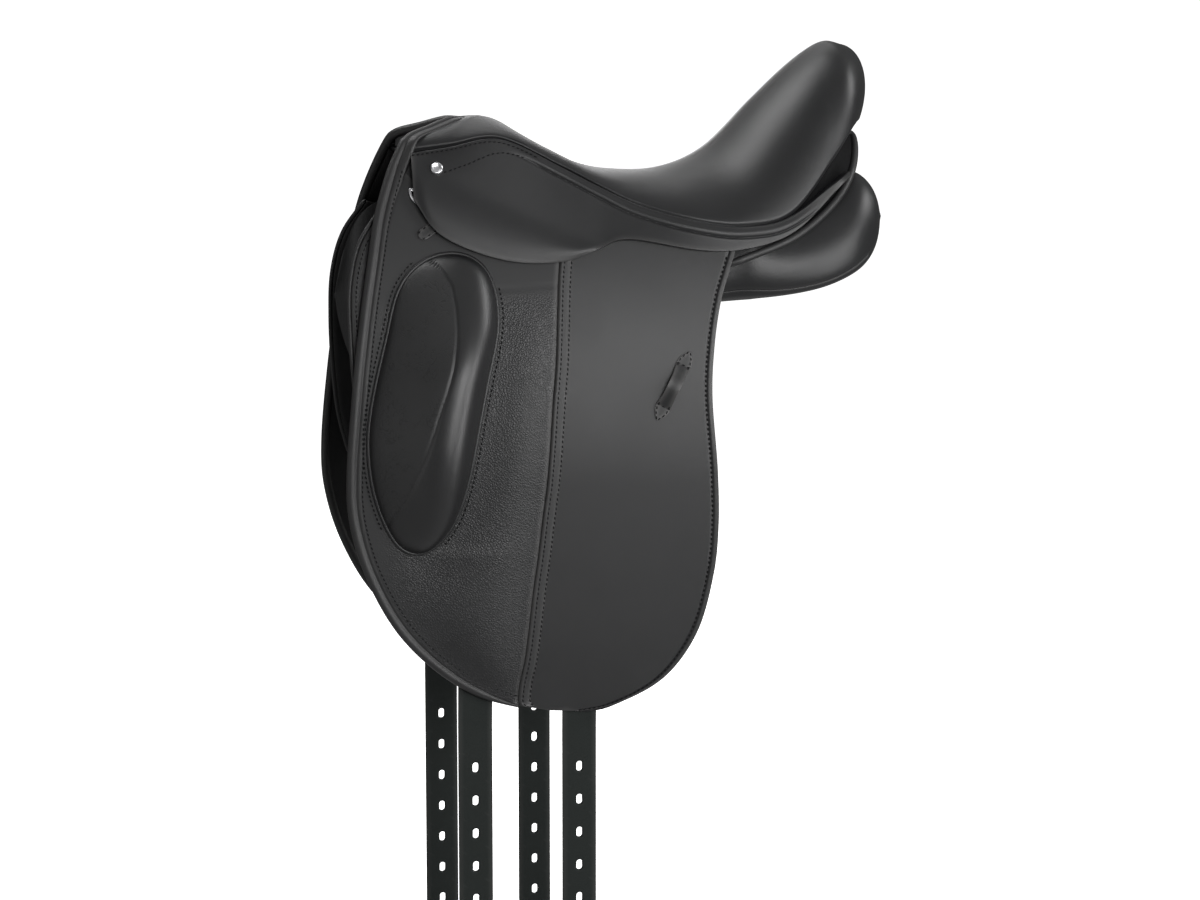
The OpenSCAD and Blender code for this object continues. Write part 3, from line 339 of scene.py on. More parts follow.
BLOCK_TOP, BLOCK_BOTTOM, BLOCK_HALF, BLOCK_H, BLOCK_BASE = 30.0, -228.0, 47.0, 44.0, 2.4
BLOCK_LINE = [[BLOCK_BOTTOM, -196], [-203, -193.5], [-167, -192.5], [-125, -189.5], [-82, -181.5],
              [-35, -170], [5, -165], [BLOCK_TOP, -160]]


def block_width(w, least=0.0):
    """Half the block's width, from its top, w 0, to its foot, w 1."""
    rounded = 1 - np.abs(2 * w - 1)**np.where(np.asarray(w) < 0.5, 5.0, 2.1)
    return BLOCK_HALF * np.sqrt(np.maximum(least, rounded))


def block_place(w, q, out):
    z = mix(BLOCK_TOP, BLOCK_BOTTOM, w)
    return on_flap(profile(BLOCK_LINE, z) + q * block_width(w, 0.0005), z, BLOCK_BASE + out)


def block_rise(w, q):
    """Height of the block: a slope up to its crest, then a round side."""
    crest = 0.4
    slope = mix(0.16, 1, ramp(-1.35, crest, q))
    round_side = mix(0.12, 1, np.sqrt(1 - np.square(np.maximum(0, q - crest) / (1 - crest))))
    edge = np.sqrt(np.maximum(0, 1 - np.abs(q)**9))
    along = mix(0.5, 1, ramp(0, 0.4, w)) * mix(0.72, 1, 1 - ramp(0.6, 1, w))
    ends = np.sqrt(np.maximum(0, 1 - np.abs(2 * w - 1)**7))
    return np.maximum(0.4, BLOCK_H * np.where(q < crest, slope, round_side) * edge * along * ends)


INLAY_EDGE = [[0, -1.3], [0.0155, -1], [0.039, -0.4], [0.09, -0.02], [0.143, 0.08], [0.2, 0.12], [0.3, 0.16],
              [0.36, 0.18], [0.43, 0.16], [0.51, 0.1], [0.593, 0.03], [0.674, -0.09], [0.748, -0.26],
              [0.818, -0.49], [0.9, -0.98], [1, -1.5]]
PANEL_IN = [[-244, 66], [-230, 52], [-212, 45], [-150, 36], [-60, 32], [0, 31], [150, 31],
            [198, 36], [228, 50]]
PANEL_TOP = [[-244, 18], [-220, 58], [-188, 70], [-150, 76], [-115, 84], [-63, 64], [-10, 38], [47, 32],
             [90, 44], [143, 70], [178, 93], [204, 102], [228, 100]]
SHOULDER_IN = [[-244, 2], [60, 2], [100, 4], [143, 5], [182, 14], [205, 22], [228, 24]]
PANEL_SHOULDER = [[-244, 6], [-220, 44], [-188, 54], [-150, 58], [-115, 62], [-63, 52], [-10, 31], [47, 24],
                  [100, 24], [143, 42], [182, 63], [205, 82], [228, 88]]
PANEL_LOW = [[-244, -60], [-220, -95], [-150, -95], [-50, -62], [60, -18], [104, -16], [144, -10], [174, 0],
             [204, 16], [228, 34]]
PANEL_FRONT, PANEL_BACK, GUSSET = -244.0, 228.0, 56
BAR_DEPTH, FREE_START, FREE_HALF = 22.5, 150, 116
SWELL, SWELL_START = 2.3, 120
SWELL_OUT = [[20, 96], [84, 106], [112, 114], [150, 116], [182, 112], [205, 104], [228, 92]]
SWELL_LOW = [[20, -22], [82, -17], [132, -12], [172, -5], [204, 7], [228, 14]]
SWELL_LEAN = [[20, -0.3], [100, -0.4], [150, -0.48], [200, -0.58], [228, -0.58]]
WELT_STOP = 205


def panel_limit(x, z):
    """How far out the panel may reach: behind the inner flap, past the stirrup bar, and free at the rear."""
    recess = (BAR_DEPTH - PANEL_OUT) * ramp(28, 40, z) * ramp(-230, -203, x) * ramp(-60, -78, x)
    past = np.maximum(0, (x - FREE_START) / (PANEL_BACK + 14 - FREE_START))
    free = FREE_HALF * np.maximum(0.01, 1 - past**3)**0.4
    return np.minimum(flap_y(x, z) - PANEL_OUT - 0.3 - recess + 80 * ramp(84, 112, x), free)


def panel_ring(x, shrink, turns):
    """Closed section of a panel at x; its rear goes over into the stuffed round."""
    b, t = profile(PANEL_IN, x), profile(PANEL_TOP, x)
    sh, low = profile(PANEL_SHOULDER, x), profile(PANEL_LOW, x)
    high, m = mix(sh, low, 0.3), mix(sh, low, 0.62)
    c = np.array([[b + 3, t], [b, mix(t, low, 0.42)], [mix(b, panel_limit(x, low), 0.5), mix(t, low, 0.8)],
                  [panel_limit(x, low) - mix(5, 13, ramp(60, 120, x)), low], [panel_limit(x, m), m],
                  [panel_limit(x, high) - 0.3 * profile(SHOULDER_IN, x), high],
                  [panel_limit(x, sh) - profile(SHOULDER_IN, x), sh]], float)
    ring = segment(np.vstack([c[-1:], c, c[:2]]), turns)
    ring[:, 0] = np.clip(ring[:, 0], c[1, 0], panel_limit(x, ring[:, 1]))
    p = mix(ring, swell_ring(x, turns), ramp(26, 76, x))
    p = mix(p.mean(0), p, shrink)
    return xyz(x, p[:, 0], p[:, 1])


def swell_ring(x, turns):
    """Stuffed rear of a panel: a leaning, flattened round that touches the welt and the lowest line."""
    inner, outer = profile(PANEL_IN, x), profile(SWELL_OUT, x)
    centre, half = (inner + outer) / 2, (outer - inner) / 2
    lean, low = profile(SWELL_LEAN, x), profile(SWELL_LOW, x)
    line = np.vstack([WELT_START, welt(np.linspace(0, 1, 60))])
    at = min(x, WELT_STOP)
    welt_y, welt_z = np.interp(at, line[:, 0], line[:, 1]), np.interp(at, line[:, 0], line[:, 2]) - 2
    share = (1 - min(0.985, abs(welt_y - centre) / half)**SWELL)**(1 / SWELL)
    tall = np.linspace(6, 70, 300)
    middle = welt_z - tall * share - lean * (welt_y - centre)
    power = SWELL / (SWELL - 1)
    reach = (tall**power + np.abs(lean * half)**power)**(1 / power)
    tall = np.interp(0, reach + low - middle, tall)
    middle = welt_z - tall * share - lean * (welt_y - centre)
    a = math.radians(SWELL_START) + 2 * math.pi * turns
    y = half * np.sign(np.cos(a)) * np.abs(np.cos(a))**(2 / SWELL)
    z = tall * np.sign(np.sin(a)) * np.abs(np.sin(a))**(2 / SWELL)
    return np.stack([centre + y, middle + z + lean * y], -1)


WELT_DROP = 26.0
WELT = np.array([[90, SEAT_HALF + 2, SKIRT_LOW], SEAM[8] + [2, 0, -0.8 * WELT_DROP],
                 SEAM[9] + [2, 0, -1.4 * WELT_DROP], SEAM[10] + [-2, 0, -1.7 * WELT_DROP],
                 [SEAM[11][0] - 4, 0, SEAM_CANTLE - WELT_DROP]])
WELT_START = np.array([62, SEAT_HALF - 4, SKIRT_LOW - 9])


def welt(t):
    return spline(WELT, t, WELT[3] * [1, -1, 1])


BEND_Z, STRAP_W, STRAP_END, STRAP_TOP = -388.0, 30.0, 262.0, 44.0
STRAPS = {"front": -144.5, "rear": -53.5}
HOLES, HOLE_PITCH, HOLE_W, HOLE_L, FIRST_HOLE = 8, 30.0, 5.5, 9.5, 35.5


# Finishes

HIDE_RELIEF = 0.0004
RUBBED, PRESSED = (0.055, 0.054, 0.053), (0.002, 0.002, 0.0021)


def link(tree, a, b):
    tree.links.new(a, b)


def add(tree, kind, **values):
    """New node; a name that starts with _ is one of its settings, any other one of its inputs."""
    node = tree.nodes.new(kind)
    for key, value in values.items():
        if key.startswith("_"):
            setattr(node, key[1:], value)
        else:
            node.inputs[key.replace("_", " ")].default_value = value
    return node


def calc(tree, operation, a, b=None, clamp=False):
    node = add(tree, "ShaderNodeMath", _operation=operation, _use_clamp=clamp)
    for slot, value in zip(node.inputs, (a, b)):
        if isinstance(value, (int, float)):
            slot.default_value = value
        elif value is not None:
            link(tree, value, slot)
    return node.outputs[0]


def object_place(tree):
    return tree.nodes.new("ShaderNodeTexCoord").outputs["Object"]


def texture(tree, kind, place, **values):
    """Texture laid out on the given coordinates."""
    node = add(tree, "ShaderNodeTex" + kind, **values)
    link(tree, place, node.inputs["Vector"])
    return node


def stretched(tree, place, scale):
    node = add(tree, "ShaderNodeMapping", Scale=scale)
    link(tree, place, node.inputs["Vector"])
    return node.outputs[0]


def carried(tree, name):
    """Value that a mesh carries under a name."""
    return add(tree, "ShaderNodeAttribute", _attribute_name=name).outputs["Fac"]


def colour_between(tree, fac, a, b):
    """Blend of a and b, each a colour or another node's output."""
    node = add(tree, "ShaderNodeMix", _data_type="RGBA")
    link(tree, fac, node.inputs[0])
    for slot, colour in ((node.inputs[6], a), (node.inputs[7], b)):
        if isinstance(colour, tuple):
            slot.default_value = (*colour, 1)
        else:
            link(tree, colour, slot)
    return node.outputs[2]


def emboss(tree, shader, height, strength, distance):
    relief = add(tree, "ShaderNodeBump", Strength=strength, Distance=distance)
    link(tree, height, relief.inputs["Height"])
    link(tree, relief.outputs[0], shader.inputs["Normal"])


def make_grain_group():
    """Pebbled hide: Height for bump, Tone for colour drift, Wear for rubbed edges."""
    tree = bpy.data.node_groups.new("hide_grain", "ShaderNodeTree")
    for name, value in (("Pebble", 900.0), ("Depth", 1.0), ("Rub", 0.5)):
        tree.interface.new_socket(name, in_out="INPUT", socket_type="NodeSocketFloat").default_value = value
    for name in ("Height", "Tone", "Wear"):
        tree.interface.new_socket(name, in_out="OUTPUT", socket_type="NodeSocketFloat")
    given, out = tree.nodes.new("NodeGroupInput"), tree.nodes.new("NodeGroupOutput")
    place = object_place(tree)
    warp = texture(tree, "Noise", place, Scale=260.0, Detail=2.0)
    shift = add(tree, "ShaderNodeVectorMath", _operation="MULTIPLY_ADD")
    link(tree, warp.outputs["Color"], shift.inputs[0])
    shift.inputs[1].default_value = (0.0011, 0.0011, 0.0011)
    link(tree, place, shift.inputs[2])
    cells = texture(tree, "Voronoi", shift.outputs[0], _feature="DISTANCE_TO_EDGE")
    link(tree, given.outputs["Pebble"], cells.inputs["Scale"])
    pores = texture(tree, "Noise", place, Scale=2600.0, Detail=3.0).outputs[0]
    pebble = calc(tree, "POWER", calc(tree, "MULTIPLY", cells.outputs["Distance"], 2.6, clamp=True), 0.7)
    height = calc(tree, "ADD", pebble, calc(tree, "MULTIPLY", pores, 0.25))
    link(tree, calc(tree, "MULTIPLY", height, given.outputs["Depth"]), out.inputs["Height"])
    drift = texture(tree, "Noise", place, Scale=16.0, Detail=4.0, Roughness=0.6).outputs[0]
    tone = calc(tree, "ADD", calc(tree, "MULTIPLY", drift, 0.7), calc(tree, "MULTIPLY", pores, 0.3))
    link(tree, tone, out.inputs["Tone"])
    patchy = calc(tree, "ADD", calc(tree, "MULTIPLY", drift, 1.2), 0.1)
    rubbed = calc(tree, "MULTIPLY", carried(tree, "rim"), patchy)
    link(tree, calc(tree, "MULTIPLY", rubbed, given.outputs["Rub"], clamp=True), out.inputs["Wear"])
    return tree


GRAIN = make_grain_group()


def new_material(name):
    material = bpy.data.materials.new(name)
    material.use_nodes = True
    tree = material.node_tree
    return material, tree, tree.nodes["Principled BSDF"]


def hide_material(name, dark, light, rough, pebble, depth, bump, rub=0.5, shine=0.34, mask=None,
                  tooled=False):
    """Leather whose colour, gloss and relief follow the grain; mask names a value that scales the relief."""
    material, tree, shader = new_material(name)
    grain = add(tree, "ShaderNodeGroup", _node_tree=GRAIN)
    for key, value in (("Pebble", pebble), ("Depth", depth), ("Rub", rub)):
        grain.inputs[key].default_value = value
    height, tone, wear = (grain.outputs[key] for key in ("Height", "Tone", "Wear"))
    colour = colour_between(tree, wear, colour_between(tree, tone, dark, light), RUBBED)
    gloss = calc(tree, "ADD", calc(tree, "MULTIPLY", tone, 0.16), rough - 0.08)
    gloss = calc(tree, "SUBTRACT", gloss, calc(tree, "MULTIPLY", wear, 0.12))
    if mask:
        seen = carried(tree, mask)
        height = calc(tree, "MULTIPLY", height, seen)
        plain = calc(tree, "SUBTRACT", 1.0, seen)
        gloss = calc(tree, "ADD", gloss, calc(tree, "MULTIPLY", plain, 0.14))
    if tooled:
        seen, place = carried(tree, "inlay"), object_place(tree)
        curl = texture(tree, "Noise", place, Scale=75.0, Detail=1.5, Distortion=2.2).outputs[0]
        patch = texture(tree, "Noise", place, Scale=30.0, Detail=1.0).outputs[0]
        line = calc(tree, "ABSOLUTE", calc(tree, "SUBTRACT", curl, 0.5))
        vein = calc(tree, "SUBTRACT", 1.0, calc(tree, "MULTIPLY", line, 26.0), clamp=True)
        spread = calc(tree, "MULTIPLY", calc(tree, "SUBTRACT", patch, 0.47), 9.0, clamp=True)
        vein = calc(tree, "MULTIPLY", calc(tree, "MULTIPLY", vein, spread), seen, clamp=True)
        height = calc(tree, "SUBTRACT", height, calc(tree, "MULTIPLY", vein, 2.4))
        colour = colour_between(tree, calc(tree, "MULTIPLY", vein, 0.75), colour, PRESSED)
        gloss = calc(tree, "ADD", gloss, calc(tree, "MULTIPLY", seen, 0.14))
    link(tree, colour, shader.inputs["Base Color"])
    link(tree, gloss, shader.inputs["Roughness"])
    emboss(tree, shader, height, bump, HIDE_RELIEF)
    shader.inputs["Specular IOR Level"].default_value = shine
    return material


SMOOTH = hide_material("smooth_hide", (0.0085, 0.0086, 0.009), (0.0135, 0.0136, 0.0142),
                       rough=0.43, pebble=1500, depth=0.6, bump=0.16)
SEAT = hide_material("seat_hide", (0.008, 0.0081, 0.0085), (0.0125, 0.0126, 0.0132),
                     rough=0.40, pebble=1300, depth=0.6, bump=0.16, rub=0.2)
GRAINED = hide_material("grained_hide", (0.0085, 0.0086, 0.009), (0.014, 0.0141, 0.0147),
                        rough=0.42, pebble=460, depth=1.0, bump=0.42, mask="pebbled")
PADDED = hide_material("panel_hide", (0.0085, 0.0086, 0.009), (0.013, 0.0131, 0.0136),
                       rough=0.36, pebble=1100, depth=0.7, bump=0.2, rub=0.3)
BOLSTER = hide_material("bolster_hide", (0.0075, 0.0076, 0.008), (0.0125, 0.0126, 0.0131),
                        rough=0.38, pebble=1300, depth=0.6, bump=0.16, rub=0.3, shine=0.44, tooled=True)
BOUND = hide_material("binding_hide", (0.009, 0.009, 0.0094), (0.0135, 0.0135, 0.014),
                      rough=0.46, pebble=1200, depth=0.7, bump=0.25, rub=0.8)
STRAP = hide_material("strap_hide", (0.0065, 0.0085, 0.0078), (0.011, 0.0135, 0.0125),
                      rough=0.6, pebble=900, depth=0.8, bump=0.35, rub=0.4, shine=0.14)
# Nearly black facing leather, far darker than the other hides: painted shade for the deep recess under the
# cantle's edge
FACING_PAINTED_SHADE = hide_material("facing_hide_painted_shade", (0.003, 0.003, 0.0032), (0.005, 0.005, 0.0053),
                       rough=0.75, pebble=900, depth=0.8, bump=0.3, rub=0.0, shine=0.08)


def thread_material():
    material, tree, shader = new_material("waxed_thread")
    twist = texture(tree, "Wave", object_place(tree), Scale=900.0, Distortion=1.5).outputs["Fac"]
    colour = colour_between(tree, twist, (0.0025, 0.0025, 0.0028), (0.006, 0.006, 0.0064))
    link(tree, colour, shader.inputs["Base Color"])
    emboss(tree, shader, twist, 0.5, 0.0001)
    shader.inputs["Roughness"].default_value = 0.7
    shader.inputs["Specular IOR Level"].default_value = 0.12
    return material


def metal_material(name, colour, rough, scratch):
    """Metal with fine lengthwise scratches and a faint cloud."""
    material, tree, shader = new_material(name)
    place = object_place(tree)
    mark = texture(tree, "Noise", stretched(tree, place, (60, 900, 900)), Scale=1.0, Detail=4.0).outputs[0]
    cloud = texture(tree, "Noise", place, Scale=120.0, Detail=3.0).outputs[0]
    dull = tuple(0.82 * c for c in colour)
    link(tree, colour_between(tree, cloud, dull, colour), shader.inputs["Base Color"])
    gloss = calc(tree, "ADD", calc(tree, "MULTIPLY", mark, scratch), rough)
    link(tree, gloss, shader.inputs["Roughness"])
    emboss(tree, shader, mark, 0.08, 0.0001)
    shader.inputs["Metallic"].default_value = 1.0
    return material


def wood_material():
    material, tree, shader = new_material("beech_laminate")
    plies = stretched(tree, object_place(tree), (8, 8, 500))
    figure = texture(tree, "Noise", plies, Scale=1.0, Detail=5.0).outputs[0]
    colour = colour_between(tree, figure, (0.25, 0.14, 0.07), (0.5, 0.33, 0.19))
    link(tree, colour, shader.inputs["Base Color"])
    gloss = calc(tree, "ADD", calc(tree, "MULTIPLY", figure, 0.2), 0.35)
    link(tree, gloss, shader.inputs["Roughness"])
    return material


def web_material():
    material, tree, shader = new_material("jute_web")
    place = object_place(tree)
    warp, weft = (texture(tree, "Wave", place, Scale=180.0, _bands_direction=way) for way in "XY")
    weave = calc(tree, "MULTIPLY", warp.outputs["Fac"], weft.outputs["Fac"])
    colour = colour_between(tree, weave, (0.3, 0.26, 0.18), (0.55, 0.5, 0.38))
    link(tree, colour, shader.inputs["Base Color"])
    emboss(tree, shader, weave, 0.6, 0.0004)
    shader.inputs["Roughness"].default_value = 0.85
    return material


THREAD = thread_material()
BRIGHT = metal_material("polished_nickel", (0.80, 0.80, 0.82), 0.26, 0.12)
FORGED = metal_material("forged_steel", (0.52, 0.53, 0.55), 0.26, 0.3)
PLAIN_STEEL = metal_material("plain_steel", (0.4, 0.4, 0.42), 0.35, 0.3)
BEECH = wood_material()
JUTE = web_material()


# Mesh making

def settle(obj):
    """Turns an object's modifiers into its plain mesh."""
    graph = bpy.context.evaluated_depsgraph_get()
    made = obj.evaluated_get(graph)
    mesh = bpy.data.meshes.new_from_object(made, preserve_all_data_layers=True, depsgraph=graph)
    obj.modifiers.clear()
    obj.data = mesh
    return obj


def weld(mesh, gap, face_out=True):
    """Joins points closer than the gap; face_out then turns the faces outwards."""
    work = bmesh.new()
    work.from_mesh(mesh)
    bmesh.ops.remove_doubles(work, verts=work.verts, dist=gap * MM)
    if face_out:
        bmesh.ops.recalc_face_normals(work, faces=work.faces)
    work.to_mesh(mesh)
    work.free()


def new_piece(name, points, faces, material, merge=0.0, **masks):
    """Smooth mesh from points in millimetres; masks are values that the points carry for the finish."""
    mesh = bpy.data.meshes.new(name)
    places = np.asarray(points, float).reshape(-1, 3) * MM
    mesh.from_pydata(places.tolist(), [], [list(map(int, f)) for f in faces])
    for key, values in masks.items():
        mask = mesh.attributes.new(key, "FLOAT", "POINT")
        mask.data.foreach_set("value", np.asarray(values, np.float32).ravel())
    if merge:
        weld(mesh, merge)
    mesh.materials.append(material)
    mesh.polygons.foreach_set("use_smooth", [True] * len(mesh.polygons))
    obj = bpy.data.objects.new(name, mesh)
    scene.collection.objects.link(obj)
    return obj


def fit(piece, slot, *nodes):
    """Fixes a piece to the saddle, in place of the solids that it stands for."""
    if nodes:
        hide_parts(*nodes)
    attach(piece, FIXED)


def quads(rows, cols, wrap=False):
    i, j = np.meshgrid(np.arange(rows - 1), np.arange(cols if wrap else cols - 1), indexing="ij")
    k = (j + 1) % cols
    return np.stack([i * cols + j, i * cols + k, (i + 1) * cols + k, (i + 1) * cols + j], -1).reshape(-1, 4)


def rim_mask(p, reach=5.0):
    """1 at the edges of a grid of points, falling to 0 at the reach."""
    across, along = run_length(p), run_length(p.transpose(1, 0, 2)).T
    near = np.minimum(np.minimum(across, across[:, -1:] - across), np.minimum(along, along[-1:] - along))
    return 1 - ramp(0, reach, near)


def thicken(obj, thick, bevel, segments):
    """Gives a sheet its thickness behind its face, and rounds its edges."""
    wall = obj.modifiers.new("wall", "SOLIDIFY")
    wall.thickness, wall.offset = thick * MM, -1
    edge = obj.modifiers.new("edge", "BEVEL")
    edge.width, edge.segments = bevel * MM, segments
    edge.limit_method, edge.angle_limit = "ANGLE", math.radians(50)
    return settle(obj)


def leather(name, grid, thick, material, facing, bevel=None, merge=0.0, rim=True, **masks):
    """Sheet of leather whose face is a grid of points; facing is a direction that its face looks in."""
    p = np.asarray(grid, float)
    rows, cols = p.shape[:2]
    faces = quads(rows, cols)
    n = np.cross(p[1:, :-1] - p[:-1, :-1], p[:-1, 1:] - p[:-1, :-1])
    if np.sum(n * np.asarray(facing, float)) > 0:
        faces = faces[:, ::-1]
    masks["rim"] = rim_mask(p) if rim else np.zeros((rows, cols))
    obj = new_piece(name, p, faces, material, **masks)
    if merge:
        weld(obj.data, merge, face_out=False)
    return thicken(obj, thick, bevel or thick * 0.42, 3)


def sweep(name, path, side, out, section, material, closed=False, taper=0.0, scale=1.0, rubbed=0.2):
    """Closed section of (side, out) pairs carried along a path; taper rounds both ends over that length."""
    path, section = np.asarray(path, float), np.asarray(section, float)
    scale = np.ones(len(path)) * scale
    if taper:
        d = run_length(path)
        near = np.clip(np.minimum(d, d[-1] - d) / taper, 0, 1)
        scale = np.sqrt(np.maximum(0.02, 1 - (1 - near)**2))
    around = section[None, :, :1] * side[:, None] + section[None, :, 1:] * out[:, None]
    p = path[:, None] + scale[:, None, None] * around
    rows, cols = p.shape[:2]
    faces = quads(rows, cols, True).tolist()
    end = (rows - 1) * cols
    if closed:
        faces += [[end + j, end + (j + 1) % cols, (j + 1) % cols, j] for j in range(cols)]
    else:
        faces += [list(range(cols - 1, -1, -1)), [end + j for j in range(cols)]]
    return new_piece(name, p, faces, material, merge=0.001, rim=np.full((rows, cols), rubbed))


def round_section(r, sides=12):
    a = np.arange(sides) * 2 * math.pi / sides
    return np.stack([r * np.cos(a), r * np.sin(a)], -1)


def cord_piece(name, path, r, material, out_hint, closed=False, rubbed=0.2):
    """Round bead along a path; out_hint is roughly its outward direction."""
    d = unit(np.gradient(np.asarray(path, float), axis=0))
    side = unit(np.cross(d, out_hint))
    out = unit(np.cross(side, d))
    return sweep(name, path, side, out, round_section(r), material, closed, 0 if closed else r, rubbed=rubbed)


# Stitching

def make_stitch_tree():
    """Lays a bead of thread at each pitch along rows of points, turned to face outwards."""
    tree = bpy.data.node_groups.new("saddle_stitch", "GeometryNodeTree")
    tree.interface.new_socket("Rows", in_out="INPUT", socket_type="NodeSocketGeometry")
    for name, value in (("Pitch", 0.0034), ("Length", 0.0028), ("Thread", 0.00045)):
        tree.interface.new_socket(name, in_out="INPUT", socket_type="NodeSocketFloat").default_value = value
    tree.interface.new_socket("Finish", in_out="INPUT", socket_type="NodeSocketMaterial")
    tree.interface.new_socket("Stitches", in_out="OUTPUT", socket_type="NodeSocketGeometry")
    n = tree.nodes
    given, out = n.new("NodeGroupInput"), n.new("NodeGroupOutput")
    curve, spaced = n.new("GeometryNodeMeshToCurve"), n.new("GeometryNodeResampleCurve")
    spaced.mode = "LENGTH"
    bead = add(tree, "GeometryNodeMeshUVSphere", Segments=6, Rings=5, Radius=1.0)
    shape = add(tree, "GeometryNodeTransform", Rotation=(0, 0, 0.16))
    half, size = add(tree, "ShaderNodeMath", _operation="MULTIPLY"), n.new("ShaderNodeCombineXYZ")
    half.inputs[1].default_value = 0.5
    put, real = n.new("GeometryNodeInstanceOnPoints"), n.new("GeometryNodeRealizeInstances")
    soft, paint = n.new("GeometryNodeSetShadeSmooth"), n.new("GeometryNodeSetMaterial")
    tangent = n.new("GeometryNodeInputTangent")
    outward = add(tree, "GeometryNodeInputNamedAttribute", _data_type="FLOAT_VECTOR", Name="outward")
    lie, face = n.new("FunctionNodeAlignRotationToVector"), n.new("FunctionNodeAlignRotationToVector")
    lie.axis, face.axis, face.pivot_axis = "X", "Z", "X"
    for a, b in ((given.outputs["Rows"], curve.inputs[0]), (curve.outputs[0], spaced.inputs["Curve"]),
                 (given.outputs["Pitch"], spaced.inputs["Length"]), (given.outputs["Length"], half.inputs[0]),
                 (half.outputs[0], size.inputs[0]), (given.outputs["Thread"], size.inputs[1]),
                 (given.outputs["Thread"], size.inputs[2]), (bead.outputs["Mesh"], shape.inputs["Geometry"]),
                 (size.outputs[0], shape.inputs["Scale"]), (spaced.outputs[0], put.inputs["Points"]),
                 (shape.outputs[0], put.inputs["Instance"]), (tangent.outputs[0], lie.inputs["Vector"]),
                 (lie.outputs[0], face.inputs["Rotation"]), (outward.outputs[0], face.inputs["Vector"]),
                 (face.outputs[0], put.inputs["Rotation"]), (put.outputs[0], real.inputs[0]),
                 (real.outputs[0], soft.inputs[0]), (soft.outputs[0], paint.inputs["Geometry"]),
                 (given.outputs["Finish"], paint.inputs["Material"]), (paint.outputs[0], out.inputs[0])):
        link(tree, a, b)
    return tree


STITCH_TREE = make_stitch_tree()
STITCH_PITCH, STITCH_L, THREAD_HALF, STITCH_LIFT = 4.2, 3.1, 0.62, 0.2
STITCH_ROWS = {"left": [], "right": []}


def sew(name, rows):
    """Rows of stitches; each row is its points and the outward directions there."""
    points, outward, edges, n = [], [], [], 0
    for p, o in rows:
        o = unit(o)
        points.append(p + o * STITCH_LIFT)
        outward.append(o)
        edges += [(n + i, n + i + 1) for i in range(len(p) - 1)]
        n += len(p)
    mesh = bpy.data.meshes.new(name)
    mesh.from_pydata((np.vstack(points) * MM).tolist(), edges, [])
    facing = mesh.attributes.new("outward", "FLOAT_VECTOR", "POINT")
    facing.data.foreach_set("vector", np.vstack(outward).astype(np.float32).ravel())
    obj = bpy.data.objects.new(name, mesh)
    scene.collection.objects.link(obj)
    made = obj.modifiers.new("stitches", "NODES")
    made.node_group = STITCH_TREE
    ids = {item.name: item.identifier for item in STITCH_TREE.interface.items_tree if item.in_out == "INPUT"}
    for key, value in (("Pitch", STITCH_PITCH * MM), ("Length", STITCH_L * MM), ("Thread", THREAD_HALF * MM),
                       ("Finish", THREAD)):
        made[ids[key]] = value
    return settle(obj)


def stitch_line(side, p, o):
    sign, row = SIDES[side], np.asarray(p, float)
    STITCH_ROWS[side].append((mirrored(row, sign), mirrored(np.broadcast_to(o, row.shape), sign)))


# Seat

SEAT_LIP = np.array([[26, 5], [12, 4.4], [4, 3.4], [0.6, 1.2]])


def make_seat():
    """Seat in one hide, drawn in along its seam; its edge is turned under."""
    u = steps((0, 0.2, 45), (0.2, 0.8, 90), (0.8, 1, 60))
    v = steps((0, 0.12, 16), (0.12, 1, 40))
    half = seat_at(*np.meshgrid(u, v, indexing="ij"))
    n = grid_normals(half)
    n *= np.sign(np.sum(n[90, 20] * [0, 0.5, 1]))
    n[-1], n[:, -1] = unit(n[-1] * [1, 0, 1]), unit(n[:, -1] * [1, 0, 1])
    half = half - n * last(1.6 * bell(run_length(half), 2.0))
    half[-1, :, 1] = 0
    half[:, -1, 1] = 0
    half = half + head_shift(v)[None] * (1 - ramp(0, 0.1, u))[:, None, None]
    lip = half[:, :1] - seam_out(u)[:, None] * SEAT_LIP[None, :, :1] - SEAT_LIP[None, :, 1:] * UP
    lip[-1, :, 1] = 0
    full = whole(np.concatenate([lip, half], 1), 1)
    seat = leather("seat", full, COVER_T, SEAT, (0, 0, 1), bevel=0.9, merge=0.02, rim=False)
    fit(seat, "black_leather", "seat_cover", "seat_foam")


# Skirts

SKIRT_LIP = np.array([[9, -2.2], [5, -0.4], [2.2, 0.5], [0.6, 0.4]])


def skirt_grid():
    """Face of the skirt, in rows down from the seam: the sewn band to the fold, then the free part."""
    u = steps((0, NOTCH, 60), (NOTCH, SKIRT_END, 90))
    top, edge = skirt_top(u), skirt_edge(u)
    middle = np.where(last(u) < NOTCH, fold(u), edge)
    a, b = np.linalg.norm(top - middle, axis=-1), np.linalg.norm(middle - edge, axis=-1)
    share = last(a / (a + b))
    s = steps((0, 0.22, 40), (0.22, 1, 40))
    S = np.broadcast_to(s, (len(u), len(s)))
    upper = mix(top[:, None], middle[:, None], last(np.clip(S / share, 0, 1)))
    free = np.clip((S - share) / np.maximum(1 - share, 1e-6), 0, 1)
    lower = mix(middle[:, None], edge[:, None], last(free))
    lower = lower + seam_out(u)[:, None] * last(4 * free * (1 - free) * 3 * ramp(0, 0.05, u)[:, None])
    p = np.where(last(S < share), upper, lower)
    ease(p, 10, 1)
    ease(p, 8)
    return u, p


